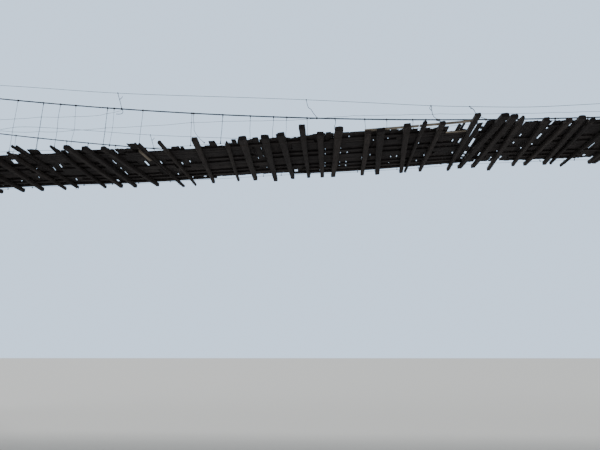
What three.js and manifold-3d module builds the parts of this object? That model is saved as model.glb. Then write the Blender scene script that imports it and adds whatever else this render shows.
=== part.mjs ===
// A rope suspension footbridge: a ragged timber deck hung from two steel wire ropes.
// Millimetres, +X along the bridge, +Y to its far side, +Z up. The origin is on the ground
// under mid-span. The near side is -Y, the left bank is -X.
import * as THREE from "three";
import { mergeVertices } from "three/addons/utils/BufferGeometryUtils.js";
import Module from "manifold-3d";

const wasm = await Module();
wasm.setup();

// Driving dimensions.
const CLEARANCE = 0.3; // between pieces that bear on each other
const DECK_HALF_LENGTH = 16500;
const DECK_HALF_WIDTH = 1200;
const BOARD_THICKNESS = 75; // lengthwise planks with short planks laid across them
const BEAM_DEPTH = 110;
const BEAM_LET_IN = 6; // how far the crossbeams bite into the boards they carry
const CABLE_SPREAD = 1340; // from the centreline to either main cable
const CABLE_RADIUS = 18;
const CABLE_FLAT = CABLE_RADIUS * Math.cos(Math.PI / 8); // to the middle of one of its sides
const CABLE_STATIONS = 20; // in each half of the span
const CABLE_LOW_POINT = 1568;
const CABLE_RISE = 4.45e-6; // height = low point + rise * x * x
const WIRE_RADIUS = 5;
const HANGER_WIDTH = 8;
const HANGER_PROUD = 15; // how far a hanger stands above the wire or cable that it is tied to
const EDGE_ROPE_RADIUS = 7;
const EDGE_ROPE_LIFT = 2.5; // it lies on the crossbeams, which are a little uneven
const EDGE_ROPE_STEPS = 32; // in each half of the span
const PILLAR_X = 16770;
const PILLAR_SIDE = 460;
const SADDLE_HEIGHT = 190;
const SADDLE_BEND = 320; // radius of the cable's centreline over the saddle
const SADDLE_WIDTH = 120;
const SADDLE_LEAD = 100; // how far before the pillar's middle the cable starts to bend
const SADDLE_STEPS = 6;
const LANDING_HEIGHT = 780;
const ABUTMENT_FRONT = 16220;
const ABUTMENT_BACK = 18050;
const ABUTMENT_HALF_WIDTH = 2100;
const STEP_GOING = 300;
const STEP_HALF_WIDTH = 900;
const STEP_COUNT = 2;
const STEP_ROOT = 50; // how far the flight of steps runs into the abutment
const ANCHOR_LENGTH = 1000;
const ANCHOR_WIDTH = 800;
const ANCHOR_HEIGHT = 700;
const ANCHOR_FACE_FOOT = 60; // height at which the sloping face starts
const DECK_END_GAP = 12; // between the deck's end and the landing
const BACKSTAY_SLOPE = THREE.MathUtils.degToRad(45);
const BACKSTAY_LENGTH = 3200;

// Height of the deck's surface along the far edge, and how much higher the near edge lies:
// the deck is humped in the middle and a little twisted.
const DECK_HEIGHTS = [
  [-16770, 795], [-13600, 925], [-11000, 985], [-8800, 1085], [-6600, 1190], [-5000, 1230],
  [-3700, 1290], [-2200, 1380], [-1000, 1455], [500, 1500], [2500, 1545], [6000, 1470],
  [9000, 1290], [12500, 1030], [16770, 795],
];
const NEAR_EDGE_LIFTS = [
  [-16770, 0], [-13800, 30], [-9500, -45], [-7800, -30], [-5000, 55], [-1500, 65],
  [2000, 45], [8000, 25], [16770, 0],
];

// Crossbeams: x at the near tip, x at the far tip, overhang from the centreline at the near
// and at the far tip, and width.
const END_BEAM = [16360, 16360, 1500, 1480, 160];
const VISIBLE_BEAMS = [
  [15760, 15700, 1620, 1440, 130], [15060, 14980, 1580, 1420, 140], [14300, 14360, 1700, 1420, 140],
  [13750, 13640, 1460, 1440, 120], [13380, 13220, 1800, 1400, 140], [12430, 12330, 1780, 1420, 120],
  [12040, 11800, 1720, 1410, 150], [11600, 11360, 1640, 1440, 150], [11120, 10640, 1600, 1400, 130],
  [10160, 9920, 1790, 1580, 130], [9570, 9500, 1860, 1460, 140], [8650, 8870, 1910, 1400, 150],
  [7900, 8070, 1570, 1400, 120], [7470, 7530, 1740, 1410, 180], [6900, 6910, 1700, 1600, 180],
  [6490, 6350, 1750, 1450, 170], [5930, 5850, 2070, 1400, 140], [5480, 5420, 1620, 1400, 160],
  [5000, 5080, 1810, 1400, 190], [4240, 4170, 1500, 1400, 150],
  [3920, 3700, 1590, 1400, 190], [3270, 2960, 1730, 1400, 160],
];
const MIDDLE_BEAMS = [
  [-2840, -2830, 1800, 1400, 110], [-2370, -2370, 1710, 1400, 130],
  [-1570, -1470, 2000, 1520, 150], [-860, -1150, 1900, 1400, 190], [-610, -730, 1830, 1410, 170],
  [-370, -160, 1770, 1690, 150], [270, 500, 1590, 1400, 130], [890, 860, 1490, 1400, 140],
  [1150, 1460, 1620, 1400, 160], [1500, 1650, 1470, 1400, 120],
  [2150, 2060, 1440, 1640, 90], [2780, 2830, 1600, 1410, 140],
];
// Where one bay of the deck ends and the next begins.
const BAY_ENDS = [
  -16500, -13950, -12180, -10450, -8400, -6700, -4060, -2150,
  0, 1950, 4060, 6700, 8400, 10450, 12180, 13950, 16500,
];

// Hangers of one half of one side, as distances from mid-span.
const HANGERS = [
  570, 1400, 2370, 3050, 3730, 4300, 5080, 5820, 6360, 6710, 7330, 8070, 8910, 10250,
  11230, 12120, 13030, 13760, 14700, 15500,
];
// The side wire that ties the hangers together, and the shorter one above it near the bank.
const SIDE_WIRE = [
  [0, 1720], [2570, 1745], [4600, 1740], [6360, 1645], [8070, 1660], [8910, 1630], [10250, 1560],
  [11350, 1515], [12560, 1440], [13760, 1455], [14700, 1595], [16540, 1655],
];
const UPPER_SIDE_WIRE = [
  [10850, 2020], [11450, 1895], [12120, 1875], [13030, 1880], [14240, 1825], [16540, 1805],
];
// The guide wire above a main cable, and the places of the bent hooks that carry it.
const GUIDE_WIRE = [
  [0, 1910], [1400, 1950], [2500, 2000], [4400, 2145], [5830, 2250], [7400, 2350],
  [11000, 2570], [14200, 2875], [15500, 2940], [16200, 2820],
];
const HOOKS = [-11000, -5830, -2500, -1400, 2500, 5830, 11000];

// A value read from a list of [x, value] pairs, by a smooth curve through them.
function along(list, x) {
  let i = 1;
  while (i < list.length - 2 && list[i + 1][0] <= x) i += 1;
  const at = list[0][0] > x || x < list[1][0] ? 0 : i;
  const slope = (k) => {
    const low = list[Math.max(k - 1, 0)];
    const high = list[Math.min(k + 1, list.length - 1)];
    return (high[1] - low[1]) / (high[0] - low[0]);
  };
  const [x0, y0] = list[at];
  const [x1, y1] = list[at + 1];
  const w = x1 - x0;
  const t = THREE.MathUtils.clamp((x - x0) / w, 0, 1);
  const t2 = t * t;
  const t3 = t2 * t;
  return (
    (2 * t3 - 3 * t2 + 1) * y0 + (t3 - 2 * t2 + t) * w * slope(at) +
    (3 * t2 - 2 * t3) * y1 + (t3 - t2) * w * slope(at + 1)
  );
}

function deckTop(x, y) {
  const nearShare = 0.5 - y / (2 * DECK_HALF_WIDTH);
  return along(DECK_HEIGHTS, x) + nearShare * along(NEAR_EDGE_LIFTS, x);
}

const beamTop = (x, y) => deckTop(x, y) - BOARD_THICKNESS + BEAM_LET_IN;
const cableHeight = (x) => CABLE_LOW_POINT + CABLE_RISE * x * x;

// Solids for joining and cutting.
function solid(geometry, place = new THREE.Matrix4()) {
  const bare = new THREE.BufferGeometry();
  bare.setAttribute("position", geometry.getAttribute("position").clone());
  bare.setIndex(geometry.index);
  bare.applyMatrix4(place);
  const merged = mergeVertices(bare, 1e-3);
  return new wasm.Manifold(
    new wasm.Mesh({
      numProp: 3,
      vertProperties: merged.attributes.position.array,
      triVerts: new Uint32Array(merged.index.array),
    }),
  );
}

const join = (solids) => solids.reduce((sum, next) => sum.add(next));

function geometryOf(made) {
  const mesh = made.getMesh();
  const geometry = new THREE.BufferGeometry();
  geometry.setAttribute("position", new THREE.BufferAttribute(mesh.vertProperties, 3));
  geometry.setIndex(new THREE.BufferAttribute(mesh.triVerts, 1));
  geometry.computeVertexNormals();
  return geometry;
}

// A block that lies between two points, its top square to the given upward direction.
function beamBetween(from, to, width, depth, up) {
  const lengthwise = to.clone().sub(from);
  const box = new THREE.BoxGeometry(width, lengthwise.length(), depth);
  const forward = lengthwise.normalize();
  const sideways = new THREE.Vector3().crossVectors(forward, up).normalize();
  const upward = new THREE.Vector3().crossVectors(sideways, forward);
  const place = new THREE.Matrix4().makeBasis(sideways, forward, upward);
  place.setPosition(from.clone().add(to).multiplyScalar(0.5));
  return solid(box, place);
}

// A route for a rope, through given points, with one section at each of them.
class Route extends THREE.Curve {
  constructor(points) {
    super();
    this.points = points;
  }
  getPointAt(t) {
    const k = t * (this.points.length - 1);
    const i = Math.min(Math.floor(k), this.points.length - 2);
    return this.points[i].clone().lerp(this.points[i + 1], k - i);
  }
  getPoint(t) {
    return this.getPointAt(t);
  }
  getTangentAt(t) {
    const k = Math.round(t * (this.points.length - 1));
    const before = this.points[Math.max(k - 1, 0)];
    const after = this.points[Math.min(k + 1, this.points.length - 1)];
    return after.clone().sub(before).normalize();
  }
}

function rope(points, radius, sides) {
  const section = new THREE.Shape();
  for (let i = 0; i < sides; i += 1) {
    const a = (2 * Math.PI * (i + 0.5)) / sides;
    if (i === 0) section.moveTo(radius * Math.cos(a), radius * Math.sin(a));
    else section.lineTo(radius * Math.cos(a), radius * Math.sin(a));
  }
  section.closePath();
  const path = new Route(points);
  return new THREE.ExtrudeGeometry(section, {
    steps: points.length - 1,
    extrudePath: path,
    curveSegments: 1,
  });
}

const material = (color, roughness, metalness) =>
  new THREE.MeshStandardMaterial({ color, roughness, metalness });
const timber = material(0x3a2f26, 0.9, 0);
const wireRope = material(0x2d2c2b, 0.55, 0.8);
const thinWire = material(0x3b3835, 0.6, 0.7);
const iron = material(0x4a3a30, 0.7, 0.6);
const stone = material(0x8a8578, 0.95, 0);
const concrete = material(0x9d998f, 0.95, 0);

const bridge = new THREE.Group();

function place(name, geometry, itsMaterial) {
  const mesh = new THREE.Mesh(geometry, itsMaterial);
  mesh.name = name;
  bridge.add(mesh);
}

// The deck. A bay is a run of boards that its crossbeams hold together.
function boardRun(x0, x1) {
  const corners = [];
  for (const x of [x0, x1])
    for (const [y, drop] of [
      [-DECK_HALF_WIDTH, BOARD_THICKNESS], [DECK_HALF_WIDTH, BOARD_THICKNESS],
      [DECK_HALF_WIDTH, 0], [-DECK_HALF_WIDTH, 0],
    ])
      corners.push(x, y, deckTop(x, y) - drop);
  const run = new THREE.BufferGeometry();
  run.setAttribute("position", new THREE.Float32BufferAttribute(corners, 3));
  run.setIndex([
    0, 3, 2, 0, 2, 1, 4, 5, 6, 4, 6, 7,
    0, 1, 5, 0, 5, 4, 3, 7, 6, 3, 6, 2,
    0, 4, 7, 0, 7, 3, 1, 2, 6, 1, 6, 5,
  ]);
  return solid(run);
}

function crossbeam([nearX, farX, nearTip, farTip, width]) {
  const lower = BEAM_DEPTH / 2;
  const from = new THREE.Vector3(nearX, -nearTip, beamTop(nearX, -nearTip) - lower);
  const to = new THREE.Vector3(farX, farTip, beamTop(farX, farTip) - lower);
  const middle = (nearX + farX) / 2;
  const slope = (deckTop(middle + width, 0) - deckTop(middle - width, 0)) / (2 * width);
  return beamBetween(from, to, width, BEAM_DEPTH, new THREE.Vector3(-slope, 0, 1));
}

const mirrored = ([nearX, farX, nearTip, farTip, width]) => [-nearX, -farX, nearTip, farTip, width];
const beams = [
  ...[END_BEAM, ...VISIBLE_BEAMS].flatMap((beam) => [beam, mirrored(beam)]),
  ...MIDDLE_BEAMS,
];

BAY_ENDS.slice(1).forEach((x1, i) => {
  const x0 = BAY_ENDS[i];
  const own = beams.filter(([nearX, farX]) => {
    const middle = (nearX + farX) / 2;
    return middle > x0 && middle < x1;
  });
  const gap = CLEARANCE / 2;
  const middle = (x0 + x1) / 2;
  const run = boardRun(x0 + gap, middle).add(boardRun(middle, x1 - gap));
  const bay = join([run, ...own.map(crossbeam)]);
  place(`deck_bay_${String(i + 1).padStart(2, "0")}`, geometryOf(bay), timber);
});

// The main cables, from anchor over both saddles to anchor.
const saddleAngles = [];
const approach = Math.atan(2 * CABLE_RISE * PILLAR_X);
for (let i = 0; i <= SADDLE_STEPS; i += 1)
  saddleAngles.push(approach - ((approach + BACKSTAY_SLOPE) * i) / SADDLE_STEPS);
const saddleStart = PILLAR_X - SADDLE_LEAD;
const bendCentre = new THREE.Vector2(
  saddleStart + SADDLE_BEND * Math.sin(approach),
  cableHeight(saddleStart) - SADDLE_BEND * Math.cos(approach),
);
// A point on an arc about the saddle's centre, where the direction of travel is the angle.
const onBend = (radius, angle) =>
  new THREE.Vector2(
    bendCentre.x - radius * Math.sin(angle),
    bendCentre.y + radius * Math.cos(angle),
  );
const backstayTop = onBend(SADDLE_BEND, -BACKSTAY_SLOPE);
const backstayDirection = new THREE.Vector2(Math.cos(BACKSTAY_SLOPE), -Math.sin(BACKSTAY_SLOPE));
const anchorPoint = backstayTop.clone().addScaledVector(backstayDirection, BACKSTAY_LENGTH);

// The rope is laid out in straight lengths, from station to station.
const station = saddleStart / CABLE_STATIONS;
function cableAxis(x) {
  const k = Math.abs(x) / station - 0.5;
  const i = Math.floor(k);
  const heightAt = (n) => cableHeight((n + 0.5) * station);
  return THREE.MathUtils.lerp(heightAt(i), heightAt(i + 1), k - i);
}

function cableRoute(y) {
  const half = [];
  for (let i = 0; i < CABLE_STATIONS; i += 1) {
    const x = (i + 0.5) * station;
    half.push(new THREE.Vector2(x, cableHeight(x)));
  }
  saddleAngles.forEach((angle) => half.push(onBend(SADDLE_BEND, angle)));
  half.push(anchorPoint);
  const right = half.map((p) => new THREE.Vector3(p.x, y, p.y));
  const left = half.map((p) => new THREE.Vector3(-p.x, y, p.y)).reverse();
  return [...left, ...right];
}

// The side wires stand just outside the main cable, and touch it.
const netY = CABLE_SPREAD + CABLE_FLAT + CLEARANCE + WIRE_RADIUS;
const edgeHeight = (x, y) => beamTop(x, y) + EDGE_ROPE_RADIUS + EDGE_ROPE_LIFT;

function wireThrough(list, sideSign, bankSign, end) {
  const last = list[list.length - 1][0];
  const points = list.map(([x, z]) => {
    const reach = x === 0 ? CLEARANCE / 2 : x === last ? end : x;
    return new THREE.Vector3(bankSign * reach, sideSign * netY, z);
  });
  return solid(rope(points, WIRE_RADIUS, 5));
}

function sideNet(sideSign, bankSign) {
  const y = sideSign * netY;
  const end = PILLAR_X - PILLAR_SIDE / 2 - CLEARANCE;
  const edgeEnd = DECK_HALF_LENGTH + DECK_END_GAP - 2 * CLEARANCE;
  const edgePoints = [];
  for (let i = 0; i <= EDGE_ROPE_STEPS; i += 1) {
    const x = bankSign * THREE.MathUtils.lerp(CLEARANCE / 2, edgeEnd, i / EDGE_ROPE_STEPS);
    edgePoints.push(new THREE.Vector3(x, y, edgeHeight(x, y)));
  }
  const pieces = [solid(rope(edgePoints, EDGE_ROPE_RADIUS, 6))];
  for (const distance of HANGERS) {
    const x = bankSign * distance;
    const wire = along(SIDE_WIRE, distance);
    const top = Math.max(cableHeight(x), wire) + HANGER_PROUD;
    const from = new THREE.Vector3(x, y, edgeHeight(x, y));
    const to = new THREE.Vector3(x, y, top);
    const height = to.z - from.z;
    const bar = new THREE.BoxGeometry(HANGER_WIDTH, HANGER_WIDTH, height);
    pieces.push(solid(bar, new THREE.Matrix4().makeTranslation(x, y, from.z + height / 2)));
  }
  pieces.push(wireThrough(SIDE_WIRE, sideSign, bankSign, end));
  pieces.push(wireThrough(UPPER_SIDE_WIRE, sideSign, bankSign, end));
  return geometryOf(join(pieces));
}

function guideWire(sideSign) {
  const y = sideSign * CABLE_SPREAD;
  const right = GUIDE_WIRE.slice(1).map(([x, z]) => new THREE.Vector3(x, y, z));
  const left = right.map((p) => new THREE.Vector3(-p.x, y, p.z)).reverse();
  const middle = new THREE.Vector3(0, y, GUIDE_WIRE[0][1]);
  const pieces = [solid(rope([...left, middle, ...right], WIRE_RADIUS, 5))];
  const last = GUIDE_WIRE[GUIDE_WIRE.length - 1];
  for (const x of [-last[0], ...HOOKS, last[0]]) {
    const crown = Math.max(cableAxis(x - HANGER_WIDTH / 2), cableAxis(x + HANGER_WIDTH / 2));
    const low = crown + CABLE_FLAT + 2 * CLEARANCE;
    const height = along(GUIDE_WIRE, Math.abs(x)) - low;
    const bar = new THREE.BoxGeometry(HANGER_WIDTH, HANGER_WIDTH, height);
    pieces.push(solid(bar, new THREE.Matrix4().makeTranslation(x, y, low + height / 2)));
  }
  return geometryOf(join(pieces));
}

// An outline in x and z, drawn across the bridge from one y to another, for the right bank.
function across(outline, y0, y1) {
  const shape = new THREE.Shape(outline.map(([x, z]) => new THREE.Vector2(x, z)));
  const block = new THREE.ExtrudeGeometry(shape, { depth: y1 - y0, bevelEnabled: false });
  block.rotateX(Math.PI / 2);
  block.translate(0, y1, 0);
  return block;
}

// The same block on the other bank: mirrored, with its faces turned to point out again.
function otherBank(made, bankSign) {
  if (bankSign > 0) return geometryOf(made);
  const turned = geometryOf(made).scale(-1, 1, 1);
  const index = turned.index.array;
  for (let i = 0; i < index.length; i += 3) [index[i], index[i + 1]] = [index[i + 1], index[i]];
  turned.computeVertexNormals();
  return turned;
}

// An abutment: landing, seat for the deck's end, and steps up from the bank.
function abutment(bankSign) {
  const seatEnd = DECK_HALF_LENGTH + DECK_END_GAP;
  const [endX, , endTip, , endWidth] = END_BEAM;
  const undersides = [-endTip, endTip].flatMap((y) =>
    [-1, 1].map((way) => beamTop(bankSign * endX + (way * endWidth) / 2, y) - BEAM_DEPTH),
  );
  const seat = Math.min(...undersides) - 4 * CLEARANCE;
  const mass = across(
    [
      [ABUTMENT_FRONT, 0], [ABUTMENT_BACK, 0], [ABUTMENT_BACK, LANDING_HEIGHT],
      [seatEnd, LANDING_HEIGHT], [seatEnd, seat], [ABUTMENT_FRONT, seat],
    ],
    -ABUTMENT_HALF_WIDTH,
    ABUTMENT_HALF_WIDTH,
  );
  const rise = LANDING_HEIGHT / (STEP_COUNT + 1);
  const root = ABUTMENT_BACK - STEP_ROOT;
  const flight = [[root, 0]];
  flight.push([ABUTMENT_BACK + STEP_COUNT * STEP_GOING, 0]);
  for (let i = 1; i <= STEP_COUNT; i += 1) {
    const nose = ABUTMENT_BACK + (STEP_COUNT + 1 - i) * STEP_GOING;
    flight.push([nose, i * rise], [nose - STEP_GOING, i * rise]);
  }
  flight.push([root, STEP_COUNT * rise]);
  const steps = across(flight, -STEP_HALF_WIDTH, STEP_HALF_WIDTH);
  return otherBank(solid(mass).add(solid(steps)), bankSign);
}

const pillarTop = onBend(SADDLE_BEND - CABLE_RADIUS - CLEARANCE, 0).y - SADDLE_HEIGHT;

function saddle(sideSign, bankSign) {
  const y = sideSign * CABLE_SPREAD;
  const bed = SADDLE_BEND - CABLE_FLAT - 2 * CLEARANCE;
  const top = saddleAngles.map((angle) => onBend(bed, angle)).map((p) => [p.x, p.y]);
  const base = pillarTop + CLEARANCE;
  const first = top[0][0];
  const last = top[top.length - 1][0];
  const block = across(
    [[first, base], [last, base], ...top.reverse()],
    y - SADDLE_WIDTH / 2,
    y + SADDLE_WIDTH / 2,
  );
  return otherBank(solid(block), bankSign);
}

function pillar(sideSign, bankSign) {
  const height = pillarTop - LANDING_HEIGHT - CLEARANCE;
  const shaft = new THREE.BoxGeometry(PILLAR_SIDE, PILLAR_SIDE, height);
  shaft.translate(
    bankSign * PILLAR_X,
    sideSign * CABLE_SPREAD,
    LANDING_HEIGHT + CLEARANCE + height / 2,
  );
  return shaft;
}

// An anchor block: its sloping face meets the end of the backstay squarely.
function anchor(sideSign, bankSign) {
  const y = sideSign * CABLE_SPREAD;
  const face = anchorPoint.clone().addScaledVector(backstayDirection, CLEARANCE);
  const upFace = new THREE.Vector2(-backstayDirection.y, backstayDirection.x);
  const crest = face.clone().addScaledVector(upFace, (ANCHOR_HEIGHT - face.y) / upFace.y);
  const foot = face.clone().addScaledVector(upFace, (ANCHOR_FACE_FOOT - face.y) / upFace.y);
  const back = foot.x + ANCHOR_LENGTH;
  const block = across(
    [[foot.x, 0], [back, 0], [back, ANCHOR_HEIGHT], [crest.x, crest.y], [foot.x, foot.y]],
    y - ANCHOR_WIDTH / 2,
    y + ANCHOR_WIDTH / 2,
  );
  return otherBank(solid(block), bankSign);
}

for (const [side, sideSign] of [["near", -1], ["far", 1]]) {
  const route = cableRoute(sideSign * CABLE_SPREAD);
  place(`main_cable_${side}`, rope(route, CABLE_RADIUS, 8), wireRope);
  place(`guide_wire_${side}`, guideWire(sideSign), thinWire);
  for (const [bank, bankSign] of [["left", -1], ["right", 1]]) {
    place(`side_net_${side}_${bank}`, sideNet(sideSign, bankSign), thinWire);
    place(`cable_pillar_${side}_${bank}`, pillar(sideSign, bankSign), stone);
    place(`cable_saddle_${side}_${bank}`, saddle(sideSign, bankSign), iron);
    place(`anchor_block_${side}_${bank}`, anchor(sideSign, bankSign), concrete);
  }
}
place("abutment_left", abutment(-1), stone);
place("abutment_right", abutment(1), stone);

export default bridge;
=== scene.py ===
import math
import random
import bmesh
import bpy
from mathutils import Matrix, Vector, noise


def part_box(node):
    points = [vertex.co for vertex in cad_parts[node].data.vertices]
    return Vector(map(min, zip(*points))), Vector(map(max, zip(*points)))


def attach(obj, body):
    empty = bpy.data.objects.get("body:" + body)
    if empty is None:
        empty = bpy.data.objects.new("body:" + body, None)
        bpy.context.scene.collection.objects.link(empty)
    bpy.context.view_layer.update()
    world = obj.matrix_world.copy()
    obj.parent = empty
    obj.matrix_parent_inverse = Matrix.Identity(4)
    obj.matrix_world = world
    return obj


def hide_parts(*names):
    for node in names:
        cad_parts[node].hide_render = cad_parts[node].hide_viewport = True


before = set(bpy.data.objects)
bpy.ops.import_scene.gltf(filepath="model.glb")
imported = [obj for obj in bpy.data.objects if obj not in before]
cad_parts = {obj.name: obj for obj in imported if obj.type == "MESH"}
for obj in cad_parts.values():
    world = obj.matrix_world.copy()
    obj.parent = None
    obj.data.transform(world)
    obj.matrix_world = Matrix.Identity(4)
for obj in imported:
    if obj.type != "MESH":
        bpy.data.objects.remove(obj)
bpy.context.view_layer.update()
scene = bpy.context.scene

# The view. The camera stands well below the deck and looks up at its underside. A plain
# pale floor runs under the span, with a raised part under each end of the bridge, and
# the light is soft and comes from above.
CAMERA_PLACE = (-5.5, -13.44, -4.37)
CAMERA_YAW = math.radians(2.4)  # to the left of straight across the bridge
CAMERA_PITCH = math.radians(14.62)
FLOOR_HEIGHT = -5.97
FLOOR_REACH = 300
FLOOR_PAST_ANCHORS = 0.6
FLOOR_GAP = 0.002  # under the abutments and anchor blocks
FLOOR_COLOUR = (0.62, 0.62, 0.6, 1)
BACKDROP_COLOUR = (0.62, 0.79, 1.0, 1)
BACKDROP_STRENGTH = 1.5
FILL_COLOUR = (0.9, 0.95, 1.0, 1)
FILL_STRENGTH = 0.55
KEY_STRENGTH = 2.6
KEY_SPREAD = math.radians(20)
KEY_TURN = (math.radians(-32), math.radians(-24), 0)
BANKS = (("left", -1), ("right", 1))


def placed(centre, size):
    """Makes a cube one metre wide a block of the given size at the given centre."""
    return Matrix.Translation(centre) @ Matrix.Diagonal((*size, 1))


lens = bpy.data.cameras.new("camera")
lens.lens = 30
lens.sensor_width = 36
lens.clip_end = 1000
camera = bpy.data.objects.new("camera", lens)
camera.location = CAMERA_PLACE
heading = Vector((
    -math.sin(CAMERA_YAW) * math.cos(CAMERA_PITCH),
    math.cos(CAMERA_YAW) * math.cos(CAMERA_PITCH),
    math.sin(CAMERA_PITCH),
))
camera.rotation_euler = heading.to_track_quat("-Z", "Y").to_euler()
scene.collection.objects.link(camera)
scene.camera = camera

floor_shape = bmesh.new()
level = Matrix.Translation((0, 0, FLOOR_HEIGHT))
bmesh.ops.create_grid(floor_shape, x_segments=1, y_segments=1, size=FLOOR_REACH, matrix=level)
for bank, bank_sign in BANKS:
    low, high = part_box("abutment_" + bank)
    front = min(abs(low.x), abs(high.x))
    anchor_low, anchor_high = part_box("anchor_block_near_" + bank)
    back = max(abs(anchor_low.x), abs(anchor_high.x)) + FLOOR_PAST_ANCHORS
    middle = (bank_sign * (front + back) / 2, 0, FLOOR_HEIGHT / 2 - FLOOR_GAP)
    size = (back - front, high.y - low.y, -FLOOR_HEIGHT)
    bmesh.ops.create_cube(floor_shape, size=1, matrix=placed(middle, size))
floor_mesh = bpy.data.meshes.new("floor")
floor_shape.to_mesh(floor_mesh)
floor = bpy.data.objects.new("floor", floor_mesh)
scene.collection.objects.link(floor)
floor_finish = bpy.data.materials.new("pale_floor")
floor_finish.use_nodes = True
floor_shader = floor_finish.node_tree.nodes["Principled BSDF"]
floor_shader.inputs["Base Color"].default_value = FLOOR_COLOUR
floor_shader.inputs["Roughness"].default_value = 0.9
floor_mesh.materials.append(floor_finish)

studio = bpy.data.worlds.new("studio")
studio.use_nodes = True
scene.world = studio
nodes, links = studio.node_tree.nodes, studio.node_tree.links
fill, backdrop = nodes["Background"], nodes.new("ShaderNodeBackground")
fill.inputs["Color"].default_value = FILL_COLOUR
fill.inputs["Strength"].default_value = FILL_STRENGTH
backdrop.inputs["Color"].default_value = BACKDROP_COLOUR
backdrop.inputs["Strength"].default_value = BACKDROP_STRENGTH
choice = nodes.new("ShaderNodeMixShader")
links.new(nodes.new("ShaderNodeLightPath").outputs["Is Camera Ray"], choice.inputs[0])
links.new(fill.outputs[0], choice.inputs[1])
links.new(backdrop.outputs[0], choice.inputs[2])
links.new(choice.outputs[0], nodes["World Output"].inputs[0])
key = bpy.data.objects.new("key", bpy.data.lights.new("key", "SUN"))
key.data.energy = KEY_STRENGTH
key.data.angle = KEY_SPREAD
key.rotation_euler = KEY_TURN
scene.collection.objects.link(key)

# Anchor blocks: board-marked concrete cast in place, one for each end of each main cable,
# with an iron eye bar cast into the sloping face that the cable pulls on.
SIDES = (("near", -1), ("far", 1))
QUARTERS = [(*side, *bank) for side in SIDES for bank in BANKS]
TOUCH = 0.001  # nearer than this counts as touching
CONCRETE_EDGE = 0.02
BOARD_HEIGHT = 0.16
BOARD_GROOVE = 0.004
SHARP_FROM = math.radians(38)
FLAT_FROM = 0.08  # square metres
MIX_FIRST, MIX_SECOND, MIX_RESULT = 6, 7, 2  # sockets of a Mix node set to colour


def new_finish(name, roughness, metallic=0.0):
    """A material to build on, its node tree and its shader."""
    finish = bpy.data.materials.new(name)
    finish.use_nodes = True
    shader = finish.node_tree.nodes["Principled BSDF"]
    shader.inputs["Roughness"].default_value = roughness
    shader.inputs["Metallic"].default_value = metallic
    return finish, finish.node_tree, shader


def patches(tree, size, stretch=(1, 1, 1), detail=5, attribute=None):
    """Light and dark patches about size metres across, as a value round 0.5."""
    if attribute:
        place = tree.nodes.new("ShaderNodeAttribute")
        place.attribute_name = attribute
        vector = place.outputs["Vector"]
    else:
        vector = tree.nodes.new("ShaderNodeTexCoord").outputs["Object"]
    scaled = tree.nodes.new("ShaderNodeMapping")
    scaled.inputs["Scale"].default_value = [1 / (size * s) for s in stretch]
    pattern = tree.nodes.new("ShaderNodeTexNoise")
    pattern.inputs["Scale"].default_value = 1
    pattern.inputs["Detail"].default_value = detail
    tree.links.new(vector, scaled.inputs["Vector"])
    tree.links.new(scaled.outputs["Vector"], pattern.inputs["Vector"])
    return pattern.outputs["Fac"]


def shades(tree, value, *stops):
    """The colours that a value passes through: each stop is (value, colour or grey)."""
    ramp = tree.nodes.new("ShaderNodeValToRGB")
    while len(ramp.color_ramp.elements) < len(stops):
        ramp.color_ramp.elements.new(1)
    for element, (position, colour) in zip(ramp.color_ramp.elements, stops):
        element.position = position
        element.color = (*colour, 1) if isinstance(colour, tuple) else (colour,) * 3 + (1,)
    tree.links.new(value, ramp.inputs["Fac"])
    return ramp.outputs["Color"]


def layered(tree, share, first, second, how="MIX"):
    """The second colour laid over the first, by a share that is a number or a value."""
    mix = tree.nodes.new("ShaderNodeMix")
    mix.data_type = "RGBA"
    mix.blend_type = how
    if isinstance(share, (int, float)):
        mix.inputs[0].default_value = share
    else:
        tree.links.new(share, mix.inputs[0])
    tree.links.new(first, mix.inputs[MIX_FIRST])
    tree.links.new(second, mix.inputs[MIX_SECOND])
    return mix.outputs[MIX_RESULT]


def relief(tree, shader, height, depth):
    """Bumps the surface by a height from 0 to 1 times depth, in metres."""
    bump = tree.nodes.new("ShaderNodeBump")
    bump.inputs["Strength"].default_value = 1
    bump.inputs["Distance"].default_value = depth
    tree.links.new(height, bump.inputs["Height"])
    if shader.inputs["Normal"].is_linked:
        tree.links.new(shader.inputs["Normal"].links[0].from_socket, bump.inputs["Normal"])
    tree.links.new(bump.outputs["Normal"], shader.inputs["Normal"])


def coat(tree, shader, colour, *bumps):
    """Lays a colour on a finish. Each bump is the size of its patches and its depth."""
    tree.links.new(colour, shader.inputs["Base Color"])
    for size, depth in bumps:
        relief(tree, shader, patches(tree, size), depth)


def finished_piece(name, shape, finishes, slot, *nodes):
    """Makes a piece of a bmesh, in place of CAD nodes. It is shaded smooth, but for its sharp
    edges and its large flat faces."""
    for edge in shape.edges:
        edge.smooth = edge.calc_face_angle(0) < SHARP_FROM
    for face in shape.faces:
        face.smooth = face.calc_area() < FLAT_FROM
    mesh = bpy.data.meshes.new(name)
    shape.to_mesh(mesh)
    shape.free()
    for finish in finishes:
        mesh.materials.append(finish)
    piece = bpy.data.objects.new(name, mesh)
    scene.collection.objects.link(piece)
    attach(piece, "root")
    if nodes:
        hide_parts(*nodes)
    return piece


def copy_of(node):
    """A bmesh of a CAD node, with its triangles merged into flat faces."""
    shape = bmesh.new()
    shape.from_mesh(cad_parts[node].data)
    bmesh.ops.remove_doubles(shape, verts=shape.verts, dist=1e-4)
    bmesh.ops.dissolve_limit(
        shape, angle_limit=math.radians(1), verts=shape.verts, edges=shape.edges
    )
    return shape


def round_edges(shape, edges, worn, segments=2):
    """Rounds some edges of a bmesh, as far from each edge as worn."""
    bmesh.ops.bevel(
        shape, geom=edges, offset=worn, segments=segments, profile=0.5, affect="EDGES", material=-1
    )


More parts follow.
